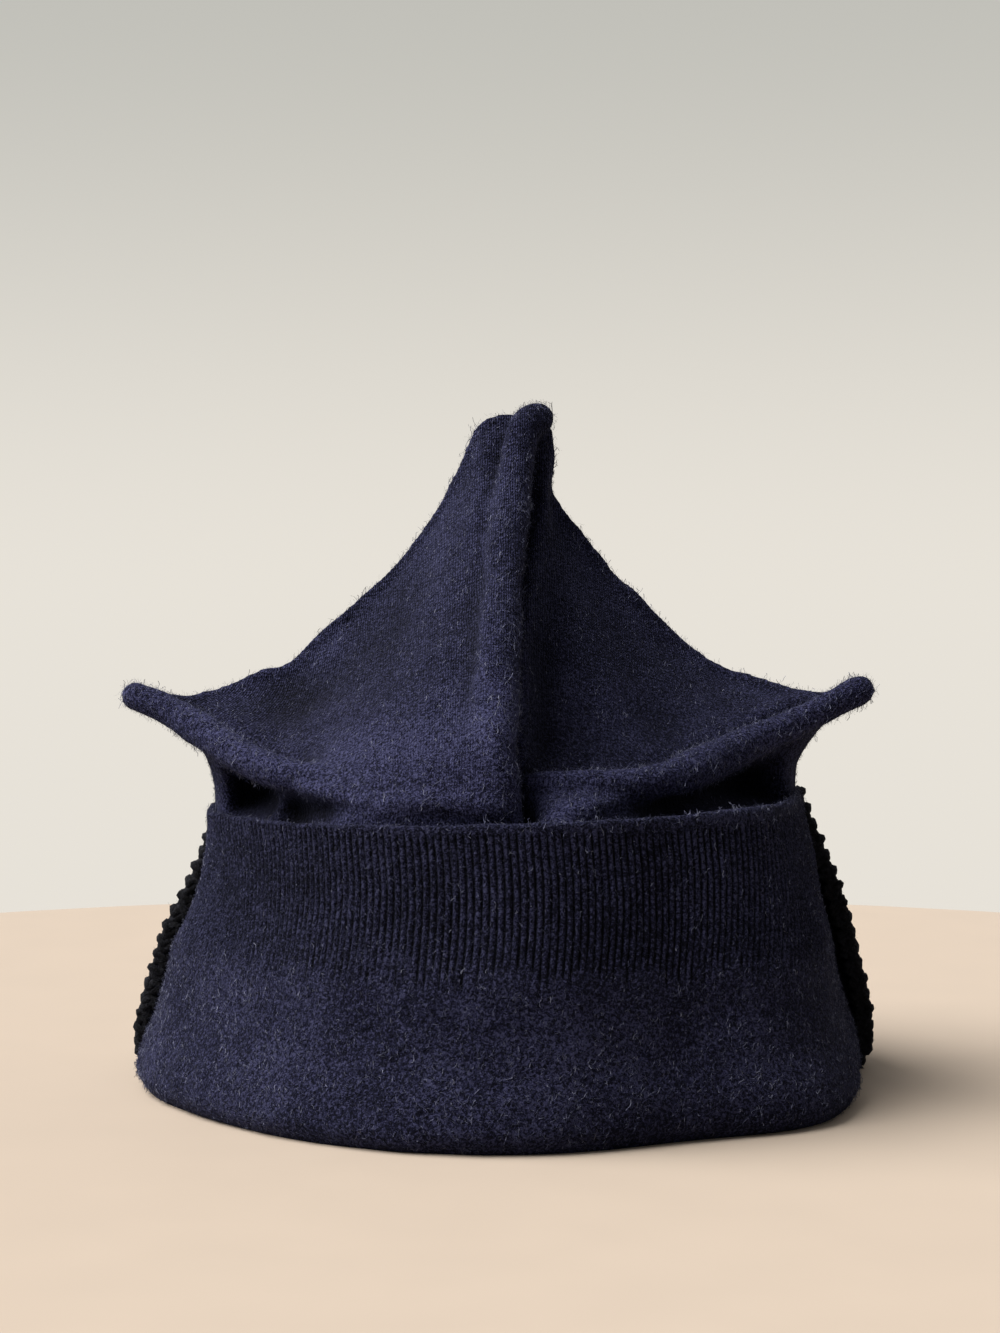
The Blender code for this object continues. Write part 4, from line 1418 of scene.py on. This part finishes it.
def black_material(groups):
    """The back cuff: black wool yarn, a little lustrous."""
    wool = Wool("black_garter_wool", groups, BLACK, BLACK_FINISH)
    matted = wool.use("felt", {"Size": BLACK_MATTING})[0]
    return wool.end(height=matted, distance=BLACK_BUMP)


def fibre_material(name, colours, groups):
    """Single fibres, paler than the cloth they stand on."""
    return Wool(name, groups, colours, FIBRE_FINISH).end()


# The stage

def floor_material():
    """Pale matt card with a faint tooth, which throws less light back than it shows."""
    material = bpy.data.materials.new("pale_floor")
    material.use_nodes = True
    tree = Tree(material.node_tree)
    shader = material.node_tree.nodes["Principled BSDF"].inputs
    at = tree.add("ShaderNodeTexCoord").outputs["Object"]
    tooth = tree.noise(at, 35.0, 4.0)[0]
    darker = tuple(0.96 * part for part in FLOOR_COLOUR[:3]) + (1.0,)
    seen = tree.first("ShaderNodeLightPath")
    share = tree.maths("MULTIPLY_ADD", seen, 1.0 - FLOOR_BOUNCE, FLOOR_BOUNCE)
    tone = tree.scaled(tree.mixed(tooth, FLOOR_COLOUR, darker), share)
    tree.give(shader["Base Color"], tone)
    tree.give(shader["Roughness"], tree.eased(tooth, 0.3, 0.7, 0.85, 0.75))
    shader["Specular IOR Level"].default_value = 0.2
    return material


def make_floor():
    """A round flat floor, in rings."""
    sides = 64
    points = [(0.0, 0.0, 0.0)]
    for radius in FLOOR_RINGS:
        for k in range(sides):
            turn = math.tau * k / sides
            points.append((radius * math.cos(turn), radius * math.sin(turn), 0.0))
    faces = []
    for k in range(sides):
        n = (k + 1) % sides
        faces.append((0, 1 + k, 1 + n))
        for low in range(1, 1 + sides * (len(FLOOR_RINGS) - 1), sides):
            faces.append((low + k, low + sides + k, low + sides + n, low + n))
    floor = solid_of("floor", points, faces)
    floor.data.materials.append(floor_material())


def make_room():
    """A dim pale room, which the camera sees as a plain backdrop, paler lower down."""
    world = bpy.data.worlds.new("soft_room")
    world.use_nodes = True
    tree = Tree(world.node_tree)
    room = world.node_tree.nodes["Background"]
    heading = tree.add("ShaderNodeTexCoord").outputs["Generated"]
    x, y, z = tree.add("ShaderNodeSeparateXYZ", [heading]).outputs
    light = tree.mixed(tree.eased(x, -0.8, 0.7), ROOM_LIT, ROOM_DIM)
    tree.give(room.inputs["Color"], tree.mixed(tree.eased(y, -0.05, 0.60), light, ROOM_WALL))
    shade = tree.mixed(tree.eased(z, 0.0, 0.27), BACKDROP_LOW, BACKDROP_HIGH)
    backdrop = tree.first("ShaderNodeBackground", {"Color": shade, "Strength": 1.0})
    seen = tree.first("ShaderNodeLightPath")
    either = tree.first("ShaderNodeMixShader", (seen, room.outputs[0], backdrop))
    tree.give(world.node_tree.nodes["World Output"].inputs["Surface"], either)
    bpy.context.scene.world = world


def make_window():
    """Soft daylight from a large window at the upper left."""
    lamp = bpy.data.lights.new("window", "SUN")
    lamp.energy = WINDOW_POWER
    lamp.color = WINDOW_COLOUR
    lamp.angle = math.radians(WINDOW_SOFTNESS)
    made = placed("window", lamp)
    made.location = WINDOW_FROM
    made.rotation_euler = (-Vector(WINDOW_FROM)).to_track_quat("-Z", "Y").to_euler()


def make_camera():
    lens = bpy.data.cameras.new("front_view")
    lens.sensor_width = 36.0
    lens.lens = CAMERA_LENS
    lens.clip_start = 0.01
    lens.clip_end = 100.0
    camera = placed("front_view", lens)
    camera.location = CAMERA_PLACE
    camera.rotation_euler = (CAMERA_PITCH, 0.0, 0.0)
    bpy.context.scene.camera = camera


# Everything together

def make_wools():
    """The cloths of each part of the hat, with the one that replaces its solid first, the bare
    faces that its fuzz grows on, and the materials of the fuzz."""
    groups = {"heather": heather_group(), "knit": knit_group(), "felt": felt_group()}
    skin = upper_crown()
    bare_crown = emitter(skin, "bare_crown", lambda corner: corner.co.z > FUZZ_FOOT)
    crown = make_crown(skin)
    crown.data.materials.clear()
    crown.data.materials.append(felt_material(groups))

    front = make_front_cuff()
    outside = marked(front, "outside")
    up = corners_and_normals(front.data)[0][:, 2]
    ribbed = np.clip((up - RIB_FOOT) / 0.004, 0.0, 1.0)
    ribbed = ribbed * np.clip((RIB_TOP - up) / 0.001, 0.0, 1.0)
    mark(front.data, "growth", 1.0 - SMOOTHER_RIBS * ribbed)
    bare_front = emitter(front, "bare_front", lambda corner: outside[corner.index] > 0.5)
    grown(front, rib_tree(), RIBS | {"Material": rib_material(groups)})

    black = black_material(groups)
    band = make_back_band()
    band.data.materials.append(black)
    stitches = stitch_lines()
    grown(stitches, garter_tree(), GARTER | {"Material": black})
    bare_back = emitter(stitches, "bare_back")
    fibres = {
        "navy": fibre_material("navy_fibre", NAVY_FIBRE, groups),
        "wisp": fibre_material("navy_wisp", NAVY_WISP, groups),
        "black": fibre_material("black_fibre", BLACK_FIBRE, groups),
    }
    wools = {"crown": [crown], "front_cuff": [front], "back_cuff": [band, stitches]}
    bare = {"crown": bare_crown, "front_cuff": bare_front, "back_cuff": bare_back}
    return wools, bare, fibres


def main():
    make_floor()
    make_room()
    make_window()
    make_camera()
    bpy.context.scene.view_settings.view_transform = "Standard"
    wools, bare, fibres = make_wools()
    fuzz = fuzz_tree()
    for name, (slot, fibre, sizes) in FUZZ.items():
        piece = emitter(bare[slot], name)
        wools[slot].append(grown(piece, fuzz, sizes | {"Material": fibres[fibre]}))
    for made in bare.values():
        bpy.data.objects.remove(made, do_unlink=True)
    for slot, pieces in wools.items():
        for piece in pieces:
            piece.data.transform(Matrix.Translation(MIDDLE_SHIFT))
            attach(piece, "root")
        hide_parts(slot)


main()
